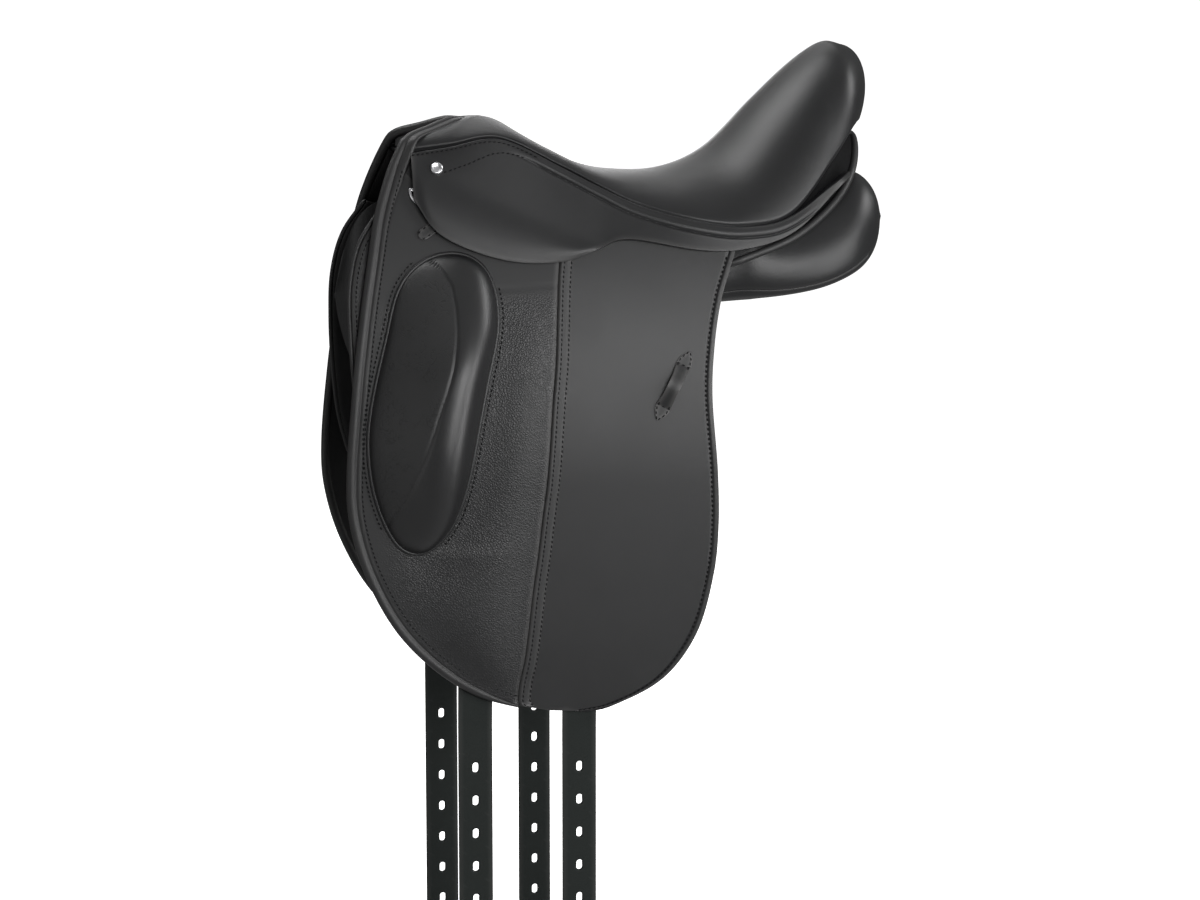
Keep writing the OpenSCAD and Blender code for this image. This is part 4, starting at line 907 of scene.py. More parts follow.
def make_skirt(side):
    """Sewn band and free part in one hide; its top is turned in under the seat's edge."""
    sign = SIDES[side]
    u, p = skirt_grid()
    n = grid_normals(p)
    n *= np.sign(np.sum(n[30, 20] * [0, 1, 0.2]))
    drop = run_length(p)
    ridge = (ramp(0.19, 0.26, u) * (1 - ramp(0.72, 0.8, u)))[:, None]
    p = p + n * last(ridge * (1.3 * bell(drop - 5, 3.4) - 1.1 * bell(drop - 9, 0.9)))
    lip = p[:, :1] - seam_out(u)[:, None] * SKIRT_LIP[None, :, :1] + SKIRT_LIP[None, :, 1:] * UP
    skirt = leather(f"skirt_{side}", mirrored(np.concatenate([lip, p], 1), sign), SKIRT_T, SMOOTH,
                    (0, sign, 0.2), bevel=1.0)
    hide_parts(f"skirt_{side}", f"skirt_lift_{side}")
    down = unit(np.cross(FOLD_REAR - FOLD_FRONT, n[30, 20]))
    down = down if down[2] < 0 else -down
    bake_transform(skirt)

    def row(start, end, falls):
        """Stitches between two marks of the seam, at the given distances below it."""
        fall = np.interp(np.linspace(0, 1, 80), np.linspace(0, 1, len(falls)), falls)
        line, out = [], []
        for k, f in zip(np.linspace(start / ROWS, end / ROWS, 80), fall):
            i = int(np.argmin(np.abs(u - k)))
            line.append([np.interp(f, drop[i], p[i, :, c]) for c in range(3)])
            out.append(n[i, int(np.argmin(np.abs(drop[i] - f)))])
        line = np.array(line)
        ease(line, 8)
        stitch_line(side, line, np.array(out))

    row(1.1, 2.35, (24, 19, 12, 8.5))
    row(0.06, 2.6, (2.2, 2.2))


# Flaps

HEM, OVERLAY_BED, SECTION_PAD = 5.5, 0.3, 5.0
STRIP_T = 1.4
STRIP_ACROSS = [0.2, 0.9, 2.0, 3.2, 4.4, 6.0, 7.6, 9.2, 10.6, 12.4]
STRIP_RISE = [0.5, 1.8, 2.2, 2.1, 1.7, 1.6, 1.3, 0.8, 0.1, -1.0]
BINDING_SECTION = [
    (-12, -0.6), (-11.6, 0.7), (-10.8, 1.5), (-9.4, 1.9), (-7.4, 2.1), (-5.4, 2.2), (-4.2, 1.9), (-3.4, 1.2),
    (-2.6, 1.7), (-1.4, 2.7), (0.4, 3.2), (2.4, 2.9), (4.2, 1.7), (5.2, -0.2), (5.2, -2.2), (4.2, -4),
    (2.4, -5.1), (0.4, -5.3), (-1.2, -4.6), (-3, -2.4)]


def make_flap(side):
    """Flap with a pressed groove and a row of stitches along its rear edge."""
    sign = SIDES[side]
    s = steps((0, 0.06, 10), (0.06, 0.94, 70), (0.94, 1, 26))
    T, S = np.meshgrid(np.linspace(0, 1, 130), s, indexing="ij")
    x, z = flap_place(T, S)
    groove = 0.9 * bell((1 - S) * row_width(T) - HEM, 1.1) * ramp(1, 0.97, T)
    p = on_flap(x, z) - flap_normal(z) * last(groove)
    flap = leather(f"flap_{side}", mirrored(p, sign), FLAP_T, SMOOTH, (0, sign, 0))
    fit(flap, "black_leather", f"flap_{side}")
    k = np.linspace(0.06, 0.985, 150)
    x, z = flap_place(k, 1 - HEM / row_width(k))
    stitch_line(side, on_flap(x, z), flap_normal(z))
    make_front_section(side)
    make_seam_strip(side)


def make_front_section(side):
    """Grained section ahead of the seam strip, softly padded between its edges and the knee block."""
    sign = SIDES[side]
    t = np.linspace(0.02, 0.92, 130)
    start, end = 4 / row_width(t), profile(SEAM_SHARE, t)
    T, Q = np.meshgrid(t, np.linspace(0, 1, 90), indexing="ij")
    x, z = flap_place(T, mix(start[:, None], end[:, None], Q))
    p = on_flap(x, z, OVERLAY_BED)
    ahead = run_length(p)
    behind = ahead[:, -1:] - ahead
    pad = 0.5 + (OVERLAY_T - 0.5) * ramp(0, 3, np.minimum(ahead, behind))
    w = np.clip((BLOCK_TOP - z) / (BLOCK_TOP - BLOCK_BOTTOM), 0, 1)
    past = np.maximum(np.maximum(z - BLOCK_TOP, BLOCK_BOTTOM - z), 0)
    beside = np.abs(x - profile(BLOCK_LINE, np.clip(z, BLOCK_BOTTOM, BLOCK_TOP))) - block_width(w)
    swell = (1 - bell(ahead, 46)) * (1 - bell(behind, 24)) * (1 - bell(np.hypot(beside, past), 44))
    pad += SECTION_PAD * swell * ramp(10, -60, z)
    yoke = 2 + 0.05 * (x + 70)
    pad -= 0.4 * bell(z - yoke, 1.1) * ramp(-150, -128, x)
    p = p + flap_normal(z) * last(pad)
    pebbled = ramp(yoke + 2, yoke - 16, z) * ramp(-242, -200, x) * 0.97 + 0.03
    piece = leather(f"flap_front_{side}", mirrored(p, sign), OVERLAY_T, GRAINED, (0, sign, 0),
                    pebbled=pebbled)
    fit(piece, "grained_leather", f"flap_front_{side}")


def make_seam_strip(side):
    """Rounded strip over the seam behind the grained section."""
    sign = SIDES[side]
    t = np.linspace(0.08, 0.94, 140)
    T, D = np.meshgrid(t, STRIP_ACROSS, indexing="ij")
    x, z = flap_place(T, profile(SEAM_SHARE, t)[:, None] + D / row_width(t)[:, None])
    n = flap_normal(z)
    p = on_flap(x, z, OVERLAY_BED) + n * last(np.broadcast_to(STRIP_RISE, D.shape))
    strip = leather(f"flap_strip_{side}", mirrored(p, sign), STRIP_T, BOUND, (0, sign, 0), bevel=0.3)
    fit(strip, "black_leather", f"flap_strip_{side}")
    for column in (4, 8):
        stitch_line(side, p[2:-2, column], n[2:-2, column])


def binding_frames():
    """Path of the front binding with its side and outward directions: round the head, then down the flap."""
    v = np.linspace(1, 0.16, 46)
    head, forward, d = head_edge(v)
    up = unit(np.cross(forward, d))
    up *= last(np.sign(up[:, 2]))
    t = steps((0.012, 0.1, 16), (0.1, 0.94, 150))
    p = spline(FLAP_FRONT, t)
    q = spline(FLAP_FRONT, np.minimum(1, t + 0.01)) - spline(FLAP_FRONT, np.maximum(0, t - 0.01))
    away = unit(np.stack([q[:, 1], -q[:, 0]], -1))
    edge, out = on_flap(p[:, 0], p[:, 1]), flap_normal(p[:, 1])
    side = unit(xyz(away[:, 0], FLAP_SPLAY * away[:, 0], away[:, 1]))
    side = unit(side - out * last(np.sum(side * out, -1)))
    head = head + forward * last(4 * ramp(1.0, 0.45, v))
    edge = edge + side * last(4 * ramp(0.16, 0.0, t))
    path, side, out = np.vstack([head, edge]), np.vstack([forward, side]), np.vstack([up, out])
    for line, passes in ((side, 30), (out, 30), (path, 4)):
        ease(line, passes)
    side[0], out[0] = unit(side[0] * [1, 0, 1]), unit(out[0] * [1, 0, 1])
    return path, unit(side), unit(out)


def make_binding(side):
    """Binding over the front edge; it thins out where the two sides join and at its lower end."""
    sign = SIDES[side]
    path, away, out = binding_frames()
    path[0, 1] = 0
    run = run_length(path)
    joined = ramp(0, 22, run)
    path = path - out * last(1.6 * (1 - joined))
    tail = mix(0.35, 1, ramp(0, 45, run[-1] - run))
    piece = sweep(f"front_binding_{side}", mirrored(path, sign), mirrored(away, sign), mirrored(out, sign),
                  BINDING_SECTION, BOUND, scale=mix(0.55, 1, joined) * tail)
    fit(piece, "black_leather", f"front_binding_{side}")
    stitch_line(side, (path - away * 8.8 + out * 1.9)[48:-2], out[48:-2])


# Knee blocks

def around(g):
    """Sum of the four neighbours of each inner point of a grid."""
    return g[2:, 1:-1] + g[:-2, 1:-1] + g[1:-1, 2:] + g[1:-1, :-2]


def make_block(side):
    """Stuffed knee block, drawn in along the seam of its inlay."""
    sign = SIDES[side]
    w = 0.5 - 0.5 * np.cos(np.linspace(0.09, math.pi - 0.09, 110))
    q = np.sin(np.linspace(-math.pi / 2, math.pi / 2, 150))
    W, Q = np.meshgrid(w, q, indexing="ij")
    rise = block_rise(W, Q)
    full = rise.max(1, keepdims=True)
    ease(rise, 300, 1)
    rise *= full / np.maximum(1e-6, rise.max(1, keepdims=True))
    for _ in range(14):
        rise[1:-1, 1:-1] = 0.4 * rise[1:-1, 1:-1] + 0.15 * around(rise)
    p = block_place(W, Q, rise)
    n = grid_normals(p)
    n *= np.sign(n[50, 70, 1])
    for _ in range(3):
        n[1:-1, 1:-1] = unit(0.2 * (n[1:-1, 1:-1] + around(n)))
    across = (Q - profile(INLAY_EDGE, W)) * BLOCK_HALF
    p = p - n * last(1.3 * bell(across - 0.6, 1.2) * ramp(-1.0, -0.97, Q))
    inlay = ramp(1, -1, across) * ramp(-0.97, -0.9, Q) * ramp(0.03, 0.08, W) * ramp(0.97, 0.9, W)
    closed = np.concatenate([p, block_place(W, Q, 0 * W)[:, ::-1]], 1)
    rows, cols = p.shape[:2]
    ring = closed.shape[1]
    faces = quads(rows, ring, True).tolist()
    for r in (0, rows - 1):
        k = r * ring
        strip = [[k + j, k + j + 1, k + ring - 2 - j, k + ring - 1 - j] for j in range(cols - 1)]
        faces += [f[::-1] for f in strip] if r else strip
    both = np.concatenate([inlay, 0 * inlay], 1)
    block = new_piece(f"knee_block_{side}", mirrored(closed, sign), faces, BOLSTER, merge=0.02,
                      inlay=both, rim=0 * both)
    fit(block, "black_leather", f"knee_block_{side}", f"block_inlay_{side}")
    make_block_rim(side)


def make_block_rim(side):
    """Bead round the foot of the knee block, and the stitches outside it."""
    sign = SIDES[side]
    a = np.linspace(0, 2 * math.pi, 161)[:-1]
    w = 0.5 - 0.5 * np.cos(a)
    z = mix(BLOCK_TOP, BLOCK_BOTTOM, w)
    loop = np.stack([profile(BLOCK_LINE, z) + np.where(a < math.pi, 1.0, -1.0) * block_width(w), z], -1)
    for _ in range(6):
        loop = 0.5 * loop + 0.25 * (np.roll(loop, 1, 0) + np.roll(loop, -1, 0))
    d = np.roll(loop, -1, 0) - np.roll(loop, 1, 0)
    away = unit(np.stack([-d[:, 1], d[:, 0]], -1))
    away *= np.sign(np.sum(away * (loop - loop.mean(0))))
    rim, outer = loop + away * 0.8, loop + away * 5.2
    path, out = on_flap(rim[:, 0], rim[:, 1], BLOCK_BASE + 1.2), flap_normal(rim[:, 1])
    bead = cord_piece(f"block_rim_{side}", mirrored(path, sign), 1.7, SMOOTH, mirrored(out, sign), True, 0.1)
    fit(bead, "black_leather")
    row = on_flap(outer[:, 0], outer[:, 1], 4.2)
    for part in (slice(18, 70), slice(96, 150)):
        stitch_line(side, row[part], out[part])


# Inner flaps, panels and linings

NOSE, HEEL, PANEL_TURNS = 18.0, 34.0, 96
CHANNEL_FRONT, CHANNEL_BACK, MOUTH_SPREAD, ARCH_SPREAD = -176.0, PANEL_BACK - 30, 1.5, 1.75
FACING_FALL, WELT_HALF = 40.0, 3.5


def make_inner_flap(side):
    """Inner flap with a piped front edge."""
    sign = SIDES[side]
    T, S = np.meshgrid(np.linspace(0, 1, 60), np.linspace(0, 1, 60), indexing="ij")
    x, z = inner_place(T, S)
    piece = leather(f"inner_flap_{side}", mirrored(on_flap(x, z, -INNER_OUT), sign), LINING_T, SMOOTH,
                    (0, sign, 0))
    fit(piece, "black_leather", f"inner_flap_{side}")
    p = spline(INNER_FRONT, np.linspace(0, 1, 90))
    q, out = np.gradient(p, axis=0), flap_normal(p[:, 1])
    away = unit(np.stack([q[:, 1], -q[:, 0]], -1))
    edge, inset = p + away * 1.6, p - away * 4
    path = on_flap(edge[:, 0], edge[:, 1], -INNER_OUT - LINING_T / 2)
    bead = cord_piece(f"inner_piping_{side}", mirrored(path, sign), 1.9, BOUND, mirrored(out, sign))
    fit(bead, "black_leather", f"inner_piping_{side}")
    stitch_line(side, on_flap(inset[:, 0], inset[:, 1], -INNER_OUT), out)


def make_panel(side):
    """Stuffed panel: closed sections from its nose to its heel, with a drawn-in and piped gusset seam."""
    sign = SIDES[side]
    x = np.concatenate([PANEL_FRONT + NOSE * (1 - np.cos(np.linspace(0.12, math.pi / 2, 14))),
                        np.linspace(PANEL_FRONT + NOSE, PANEL_BACK - HEEL, 90)[1:-1],
                        PANEL_BACK - HEEL + HEEL * np.sin(np.linspace(0, math.pi / 2 - 0.08, 18))])
    a, b = np.minimum(1, (x - PANEL_FRONT) / NOSE), np.minimum(1, (PANEL_BACK - x) / HEEL)
    shrink = np.maximum(0.1, np.sqrt(1 - (1 - a)**2)) * np.maximum(0.1, (1 - (1 - b)**2.4)**(1 / 2.4))
    turns = np.arange(PANEL_TURNS)
    p = np.array([panel_ring(k, f, turns / PANEL_TURNS) for k, f in zip(x, shrink)])
    inner = np.arange(1, len(x) - 1)
    for rows, passes in ((inner, 5), (inner[(inner < 26) | (inner >= 84)], 12)):
        for _ in range(passes):
            beside = p[rows + 1] + p[rows - 1] + np.roll(p, 1, 1)[rows] + np.roll(p, -1, 1)[rows]
            p[rows] = 0.4 * p[rows] + 0.15 * beside
    rear = (x > 52) & (x < 214)
    away = unit(p - p.mean(1, keepdims=True))
    p = p - away * last(1.8 * bell(turns - GUSSET, 1.3)[None] * rear[:, None])
    rows, cols = p.shape[:2]
    faces = quads(rows, cols, True).tolist()
    ends = np.array([p[0].mean(0) - [1.5, 0, 0], p[-1].mean(0) + [1.5, 0, 0]])
    for e, r in ((0, 0), (1, rows - 1)):
        fan = [[r * cols + j, r * cols + (j + 1) % cols, rows * cols + e] for j in range(cols)]
        faces += fan if e else [f[::-1] for f in fan]
    points = np.vstack([p.reshape(-1, 3), ends])
    panel = new_piece(f"panel_{side}", mirrored(points, sign), faces, PADDED, merge=0.001,
                      rim=np.zeros(len(points)))
    fit(panel, "panel_leather", f"panel_{side}")
    bead = cord_piece(f"panel_piping_{side}", mirrored(p[rear, GUSSET], sign), 1.3, BOUND,
                      mirrored(away[rear, GUSSET], sign))
    fit(bead, "black_leather")


def across_line(line, y, ahead):
    """Points on a half line at the places y across the saddle, moved along the saddle and 1 mm up."""
    x, z = (np.interp(np.abs(y), line[:, 1], line[:, k]) for k in (0, 2))
    return xyz(x + ahead, y, z + 1)


def make_linings():
    """Linings of the channel, the head and the cantle, and the welt round the rear."""
    x, s = np.linspace(CHANNEL_FRONT, CHANNEL_BACK, 110), np.linspace(-1, 1, 41)
    X, S = np.meshgrid(x, s, indexing="ij")
    p = xyz(X, S * (profile(PANEL_IN, X) - 0.6), profile(PANEL_TOP, X) - 12 + 9 * (1 - S**2))
    v = np.linspace(0.28, 1, 50)
    head, ahead, _ = head_edge(v)
    drop = mix(4.85, FACING_FALL * mix(0.72, 1, v)[:, None], np.linspace(0, 1, 16))
    q = (head + ahead * 3.4)[:, None] - drop[..., None] * UP
    mouth = across_line(q[::-1, -1], MOUTH_SPREAD * p[0, :, 1], 3)
    arch = across_line(welt(np.linspace(0, 1, 200))[::-1], ARCH_SPREAD * p[-1, :, 1], -2)
    rise = np.linspace(0, 1, 9)[:, None, None]
    p = np.concatenate([mix(mouth, p[0], rise[:-1]), p,
                        mix(p[-1], arch, rise[1:]) + [6, 0, -4] * np.sin(math.pi * rise[1:])])
    lining = leather("channel_lining", p - LINING_T * UP, LINING_T, PADDED, (0, 0, -1), rim=False)
    facing = leather("head_facing", whole(q), LINING_T, PADDED, (-1, 0, 0), rim=False)
    t = np.linspace(0, 1, 70)
    u = mix(8, ROWS, t) / ROWS
    out = seam_out(u)
    top = seam(u) - out * 7 - 2.2 * UP
    low = welt(mix(0.25, 1, t)) + 2 * UP - out * 2
    k = np.linspace(0, 1, 14)[:, None]
    h = mix(top[:, None], low[:, None], k) - out[:, None] * (10 * np.sin(math.pi * k))
    # The cantle facing gets the nearly black finish: painted shade in the recess between the seat's edge and
    # the welt
    cantle = leather("cantle_facing", whole(h), LINING_T, FACING_PAINTED_SHADE, (1, 0, 0), rim=False)
    path = whole(np.vstack([WELT_START, welt(np.linspace(0, 1, 90))]))
    bead = cord_piece("rear_welt", path, WELT_HALF, BOUND, unit(path * [1, 1, 0] - [60, 0, 0]))
    for piece, node in ((lining, "channel_lining"), (facing, "head_facing"), (cantle, "cantle_facing"),
                        (bead, "rear_welt")):
        fit(piece, "black_leather", node)


# Girth straps

STRAP_BEND, STRAP_TIP = 14, 14


def strap_cell(z):
    """One square of the strap's face: an inner ring on its slot and an outer ring on its edge."""
    a = np.arange(32) * math.pi / 16
    c, s = np.cos(a), np.sin(a)
    straight = (HOLE_L - HOLE_W) / 2
    slot = np.stack([HOLE_W / 2 * c, HOLE_W / 2 * s + straight * np.sign(np.round(s, 6))], -1)
    k = 1 / np.maximum(np.abs(c), np.abs(s))
    square = np.stack([STRAP_W / 2 * c * k, HOLE_PITCH / 2 * s * k], -1)
    return slot + [0, z], square + [0, z]


def make_strap(side, place):
    """Girth strap with its slots; its free end bends below the flap."""
    sign = SIDES[side]
    x0 = STRAPS[place]
    plane = float(flap_y(np.array(x0), np.array(BEND_Z))) - STRAP_OUT - STRAP_T / 2
    points, faces = [], []

    def put(rows):
        start = sum(len(p) for p in points)
        points.append(rows.reshape(-1, 2))
        faces.extend((quads(*rows.shape[:2]) + start).tolist())

    def put_ring(a, b):
        start = sum(len(p) for p in points)
        n = len(a)
        points.extend([a, b])
        for i in range(n):
            k = (i + 1) % n
            faces.append([start + i, start + k, start + n + k, start + n + i])

    ladder = STRAP_W / 2 * np.tan(np.arange(-4, 5) * math.pi / 16)
    first = BEND_Z - FIRST_HOLE + HOLE_PITCH / 2
    z = steps((STRAP_TOP, BEND_Z + 30, 60), (BEND_Z + 30, first, 16))
    put(np.stack(np.meshgrid(ladder, z, indexing="xy"), -1))
    for i in range(HOLES):
        slot, square = strap_cell(BEND_Z - FIRST_HOLE - i * HOLE_PITCH)
        rings = [slot, mix(slot, square, 0.18), mix(slot, square, 0.6), square]
        for inner, outer in zip(rings, rings[1:]):
            put_ring(inner, outer)
    low, tip = BEND_Z - FIRST_HOLE - (HOLES - 0.5) * HOLE_PITCH, BEND_Z - STRAP_END
    z = np.linspace(low, tip, 5)
    narrow = mix(0.5, 1, np.sqrt(np.clip((z - tip) / STRAP_TIP, 0, 1)))
    put(np.stack([ladder[None] * narrow[:, None], np.broadcast_to(z[:, None], (len(z), len(ladder)))], -1))
    dx, z = np.vstack(points).T
    hung = np.maximum(z, BEND_Z)
    y = flap_y(x0 + 0 * hung, hung) + FLAP_SPLAY * dx * ramp(BEND_Z, BEND_Z + 55, z) - STRAP_OUT
    face = xyz(x0 + dx, np.where(z < BEND_Z, plane + STRAP_T / 2, y), z)
    strap = new_piece(f"strap_{place}_{side}", mirrored(face, sign), faces, STRAP, merge=0.05,
                      rim=1 - ramp(0, 3, STRAP_W / 2 - np.abs(dx)))
    if sign * sum(f.normal[1] for f in strap.data.polygons) < 0:
        strap.data.flip_normals()
    thicken(strap, STRAP_T, 0.7, 2)
    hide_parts(f"strap_{place}_{side}", f"strap_end_{place}_{side}")
    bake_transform(strap)


# Nails, keepers, tabs and dee chapes

NAIL_PROFILE = [(0, 0.62), (0.3, 0.65), (0.48, 0.72), (0.6, 0.84), (0.7, 0.96), (0.8, 1), (0.9, 0.86),
                (0.97, 0.55), (1, 0.3), (1, 0)]
TAB_X, TAB_Z, TAB_L, TAB_W, TAB_LEAN = -187.0, 44.0, 24.0, 9.5, math.radians(34)
KEEPER_X, KEEPER_Z, KEEPER_LEAN = 27.0, -84.0, math.radians(27)
KEEPER_L, KEEPER_W, KEEPER_ROOM = 66.0, 13.0, 8.0
DEE_X, DEE_Z, DEE_OUT = -179.0, 84.0, 3.9
CHAPE_T, CHAPE_BOW, CHAPE_HALF, CHAPE_TOP = 1.1, 3.25, 6.5, 19.0


def make_nails():
    """Dished nail heads with a rolled rim, over the solids' nails."""
    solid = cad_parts["head_nails"]
    spots = np.array([solid.matrix_world @ v.co for v in solid.data.vertices]) / MM
    points, faces = [], []
    turns = np.arange(36) * 2 * math.pi / 36
    for sign in SIDES.values():
        own = spots[spots[:, 1] * sign > 0]
        centre = (own.min(0) + own.max(0)) / 2
        axes = np.linalg.svd(own - centre, full_matrices=False)[2]
        out = axes[2] * np.sign(axes[2, 1] * sign)
        radius = np.abs((own - centre) @ axes.T).max(0)[:2].mean()
        low, high = ((own - centre) @ out).min(), ((own - centre) @ out).max()
        start = sum(len(k) for k in points)
        for r, h in NAIL_PROFILE:
            ring = radius * r * (np.cos(turns)[:, None] * axes[0] + np.sin(turns)[:, None] * axes[1])
            points.append(centre + ring + out * mix(low, high, h))
        faces.extend((quads(len(NAIL_PROFILE), len(turns), True) + start).tolist())
    nails = new_piece("head_nails_polished", np.vstack(points), faces, BRIGHT, merge=0.01)
    fit(nails, "bright_metal", "head_nails")


def make_keeper(side):
    """Bowed loop of leather, sewn down at its two leaf-shaped ends."""
    sign = SIDES[side]
    t = steps((0, 0.12, 14), (0.12, 0.88, 50), (0.88, 1, 14))
    T, S = np.meshgrid(t, np.linspace(-0.5, 0.5, 9), indexing="ij")
    end = np.minimum(1, np.minimum(T, 1 - T) / 0.17)
    waist = mix(0.86, 1, ramp(0.12, 0.32, np.abs(T - 0.5)))
    b = S * KEEPER_W * np.maximum(0.06, 1 - (1 - end)**1.8) * waist
    a = (T - 0.5) * KEEPER_L
    lift = KEEPER_ROOM * np.sin(math.pi * np.clip((T - 0.2) / 0.6, 0, 1))**1.2
    x = KEEPER_X + a * math.sin(KEEPER_LEAN) + b * math.cos(KEEPER_LEAN)
    z = KEEPER_Z + a * math.cos(KEEPER_LEAN) - b * math.sin(KEEPER_LEAN)
    n = flap_normal(z)
    p = on_flap(x, z, OVERLAY_BED + OVERLAY_T) + n * last(lift)
    keeper = leather(f"keeper_{side}", mirrored(p, sign), OVERLAY_T, BOUND, (0, sign, 0))
    fit(keeper, "black_leather", f"keeper_{side}")
    for centre in (0.2, 0.8):
        i = int(np.argmin(np.abs(t - centre)))
        stitch_line(side, p[i, 1:-1], n[i, 1:-1])
    for part in (slice(3, 20), slice(-20, -3)):
        for column in (1, -2):
            stitch_line(side, p[part, column], n[part, column])


def make_tab(side):
    """Short stitched tab on the flap, half hidden by the skirt's front edge."""
    sign = SIDES[side]
    T, S = np.meshgrid(np.linspace(0, 1, 20), np.linspace(-0.5, 0.5, 9), indexing="ij")
    a, b = T * TAB_L, S * TAB_W * np.sqrt(np.maximum(0.05, 1 - (1 - np.minimum(1, T / 0.2))**2))
    x = TAB_X + a * math.cos(TAB_LEAN) - b * math.sin(TAB_LEAN)
    z = TAB_Z + a * math.sin(TAB_LEAN) + b * math.cos(TAB_LEAN)
    n = flap_normal(z)
    p = on_flap(x, z, OVERLAY_BED + 2 * OVERLAY_T) + n * last(1.2 * (1 - T))
    tab = leather(f"bar_tab_{side}", mirrored(p, sign), OVERLAY_T, BOUND, (0, sign, 0))
    fit(tab, "black_leather")
    for column in (1, -2):
        stitch_line(side, p[2:12, column], n[2:12, column])


def make_chape(side):
    """Leather loop that is folded round the dee's straight side and lies flat on the flap."""
    sign = SIDES[side]
    o = on_flap(np.array(DEE_X), np.array(DEE_Z), DEE_OUT)
    lean, turn = math.atan(flap_lean(DEE_Z)), math.atan(FLAP_SPLAY)
    ex = np.array([math.cos(turn), math.sin(turn), 0])
    ez = np.array([math.sin(turn) * math.sin(lean), -math.cos(turn) * math.sin(lean), math.cos(lean)])
    ey = np.cross(ez, ex)
    wrap = np.linspace(math.radians(105), math.radians(435), 40)
    ring = CHAPE_BOW * np.stack([np.cos(wrap), np.sin(wrap)], -1)
    flat = np.stack([np.full(10, -0.85), np.linspace(CHAPE_TOP, 3.6, 10)], -1)
    path = np.concatenate([flat, ring, flat[::-1] * [-1, 1]])
    ease(path, 3)
    width = np.linspace(-CHAPE_HALF, CHAPE_HALF, 9)
    p = o + path[:, None, :1] * ey + path[:, None, 1:] * ez + width[None, :, None] * ex
    chape = leather(f"dee_chape_{side}", mirrored(p, sign), CHAPE_T, BOUND, (0, sign, 0))
    fit(chape, "black_leather", f"dee_chape_{side}")


# Build

make_seat()
make_linings()
make_nails()
for side in SIDES:
    make_skirt(side)
    make_flap(side)
    make_binding(side)
    make_block(side)
    make_inner_flap(side)
    make_panel(side)
    for place in STRAPS:
        make_strap(side, place)
    make_keeper(side)
    make_chape(side)
    make_tab(side)
    stitches = sew(f"stitching_{side}", STITCH_ROWS[side])
    fit(stitches, "black_leather")

for name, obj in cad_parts.items():
    finish = None
    if name.startswith(("dee_left", "dee_right")):
        finish = BRIGHT
    elif name.startswith(("stirrup_bar", "catch_left", "catch_right")):
        finish = FORGED
    elif name.startswith(("gullet_plate", "cantle_plate", "spring_rail", "bar_rivets", "catch_pin")):
        finish = PLAIN_STEEL
    elif name.startswith("tree"):
        finish = BEECH
    elif name.endswith("web"):
        finish = JUTE
    if finish:
        for place in obj.material_slots:
            place.material = finish


# Floor, light and camera

FLOOR_HALF, FLOOR_GAP = 60, 0.002
SKY = ((0.0, 0.6), (0.25, 0.35), (0.4, 0.1), (0.55, 0.08), (0.75, 0.16), (1.0, 0.45))
LAMPS = (
    ("key", (0.15, -2.6, 0.36), (-0.02, -0.1, -0.1), (0.9, 0.8), 46),
    ("side_strip", (1.5, -1.8, 0.0), (-0.05, -0.1, -0.05), (0.9, 1.6), 42),
    ("right_top", (1.7, -0.3, 1.1), (0.1, -0.1, 0.1), (0.7, 0.9), 20),
    ("overhead", (-1.1, 0.8, 1.9), (0.05, 0, 0.1), (1.3, 1.1), 30),
    ("back_sky", (0.2, 2.2, 2.0), (0.1, 0, 0.1), (1.4, 1.0), 6),
    ("front_fill", (-2.4, -0.9, -0.1), (-0.1, 0, -0.1), (1.4, 1.4), 7),
    ("back_fill", (0.2, 2.6, 0.5), (0, 0, -0.1), (1.2, 0.9), 8))


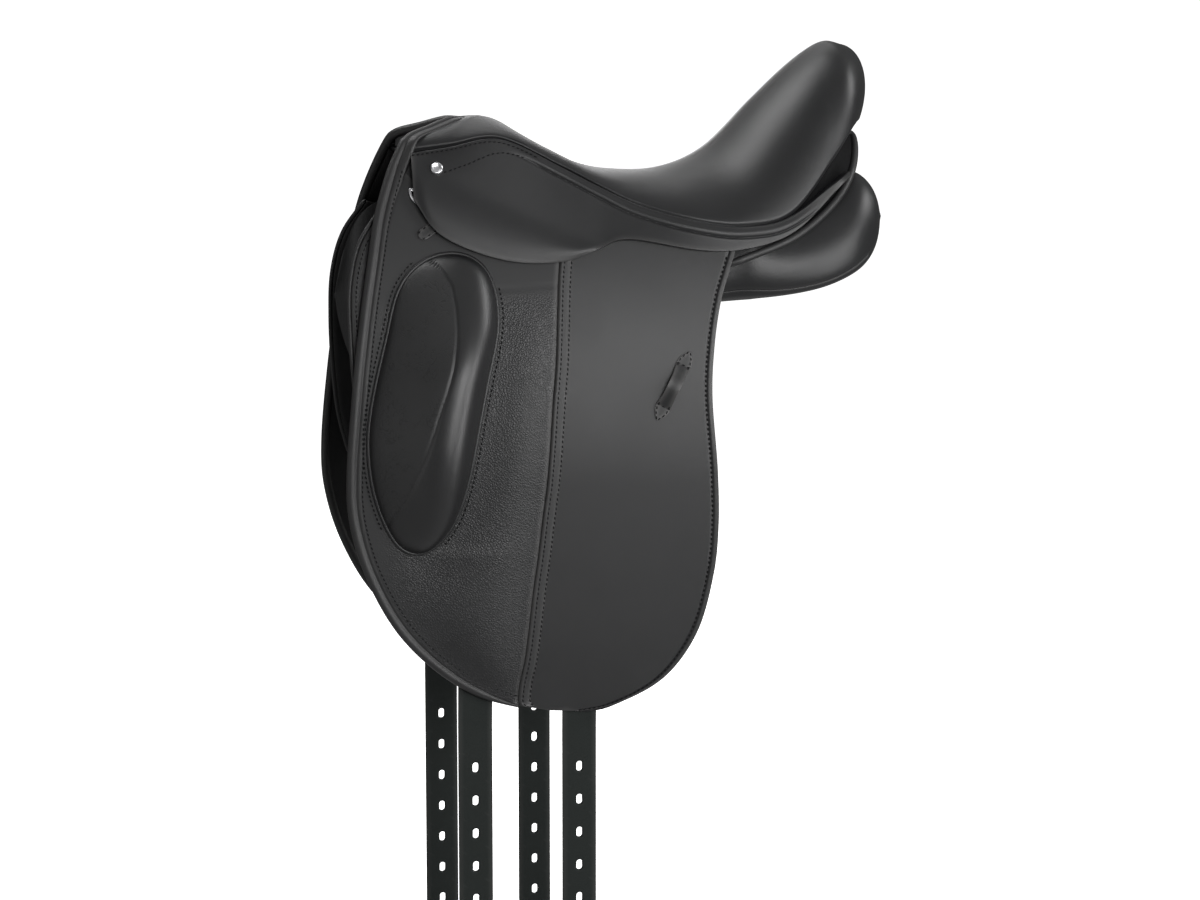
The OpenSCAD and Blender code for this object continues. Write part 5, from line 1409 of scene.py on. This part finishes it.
def make_floor():
    floor = bpy.data.meshes.new("floor")
    r, z = FLOOR_HALF, solid_box[0][2] - FLOOR_GAP
    floor.from_pydata([(-r, -r, z), (r, -r, z), (r, r, z), (-r, r, z)], [], [(0, 1, 2, 3)])
    material, _, shader = new_material("pale_floor")
    shader.inputs["Base Color"].default_value = (0.92, 0.92, 0.92, 1)
    shader.inputs["Roughness"].default_value = 0.9
    shader.inputs["Emission Color"].default_value = (1, 1, 1, 1)
    shader.inputs["Emission Strength"].default_value = 0.9
    floor.materials.append(material)
    obj = bpy.data.objects.new("floor", floor)
    scene.collection.objects.link(obj)
    obj.visible_diffuse, obj.visible_glossy = False, False


def make_light():
    """Grey sky that changes with height, and the studio's soft lamps: place, aim, size and watts of each."""
    world = bpy.data.worlds.new("studio")
    world.use_nodes = True
    tree = world.node_tree
    turn = tree.nodes.new("ShaderNodeSeparateXYZ")
    link(tree, tree.nodes.new("ShaderNodeTexCoord").outputs["Generated"], turn.inputs[0])
    height = calc(tree, "ADD", calc(tree, "MULTIPLY", turn.outputs["Z"], 0.5), 0.5)
    sky = tree.nodes.new("ShaderNodeValToRGB")
    link(tree, height, sky.inputs[0])
    stops = sky.color_ramp.elements
    for place, grey in SKY:
        stop = stops[0] if place == 0 else stops[-1] if place == 1 else stops.new(place)
        stop.color = (grey, grey, grey, 1)
    link(tree, sky.outputs[0], tree.nodes["Background"].inputs[0])
    scene.world = world
    scene.view_settings.view_transform = "Standard"
    for name, place, aim, size, power in LAMPS:
        lamp = bpy.data.lights.new(name, "AREA")
        lamp.shape, lamp.size, lamp.size_y, lamp.energy = "RECTANGLE", size[0], size[1], power
        holder = bpy.data.objects.new(name, lamp)
        holder.location = place
        holder.rotation_mode = "QUATERNION"
        holder.rotation_quaternion = (Vector(aim) - Vector(place)).to_track_quat("-Z", "Y")
        scene.collection.objects.link(holder)


def make_camera():
    az, el, distance, aim = math.radians(-11), math.radians(9), 3.0, Vector((-0.012, 0, -0.160))
    back = Vector((math.sin(az) * math.cos(el), -math.cos(az) * math.cos(el), math.sin(el)))
    lens = bpy.data.cameras.new("camera")
    lens.lens, lens.sensor_width = 99.0, 36.0
    camera = bpy.data.objects.new("camera", lens)
    camera.location = aim + back * distance
    camera.rotation_mode = "QUATERNION"
    camera.rotation_quaternion = (-back).to_track_quat("-Z", "Y")
    scene.collection.objects.link(camera)
    scene.camera = camera


make_floor()
make_light()
make_camera()
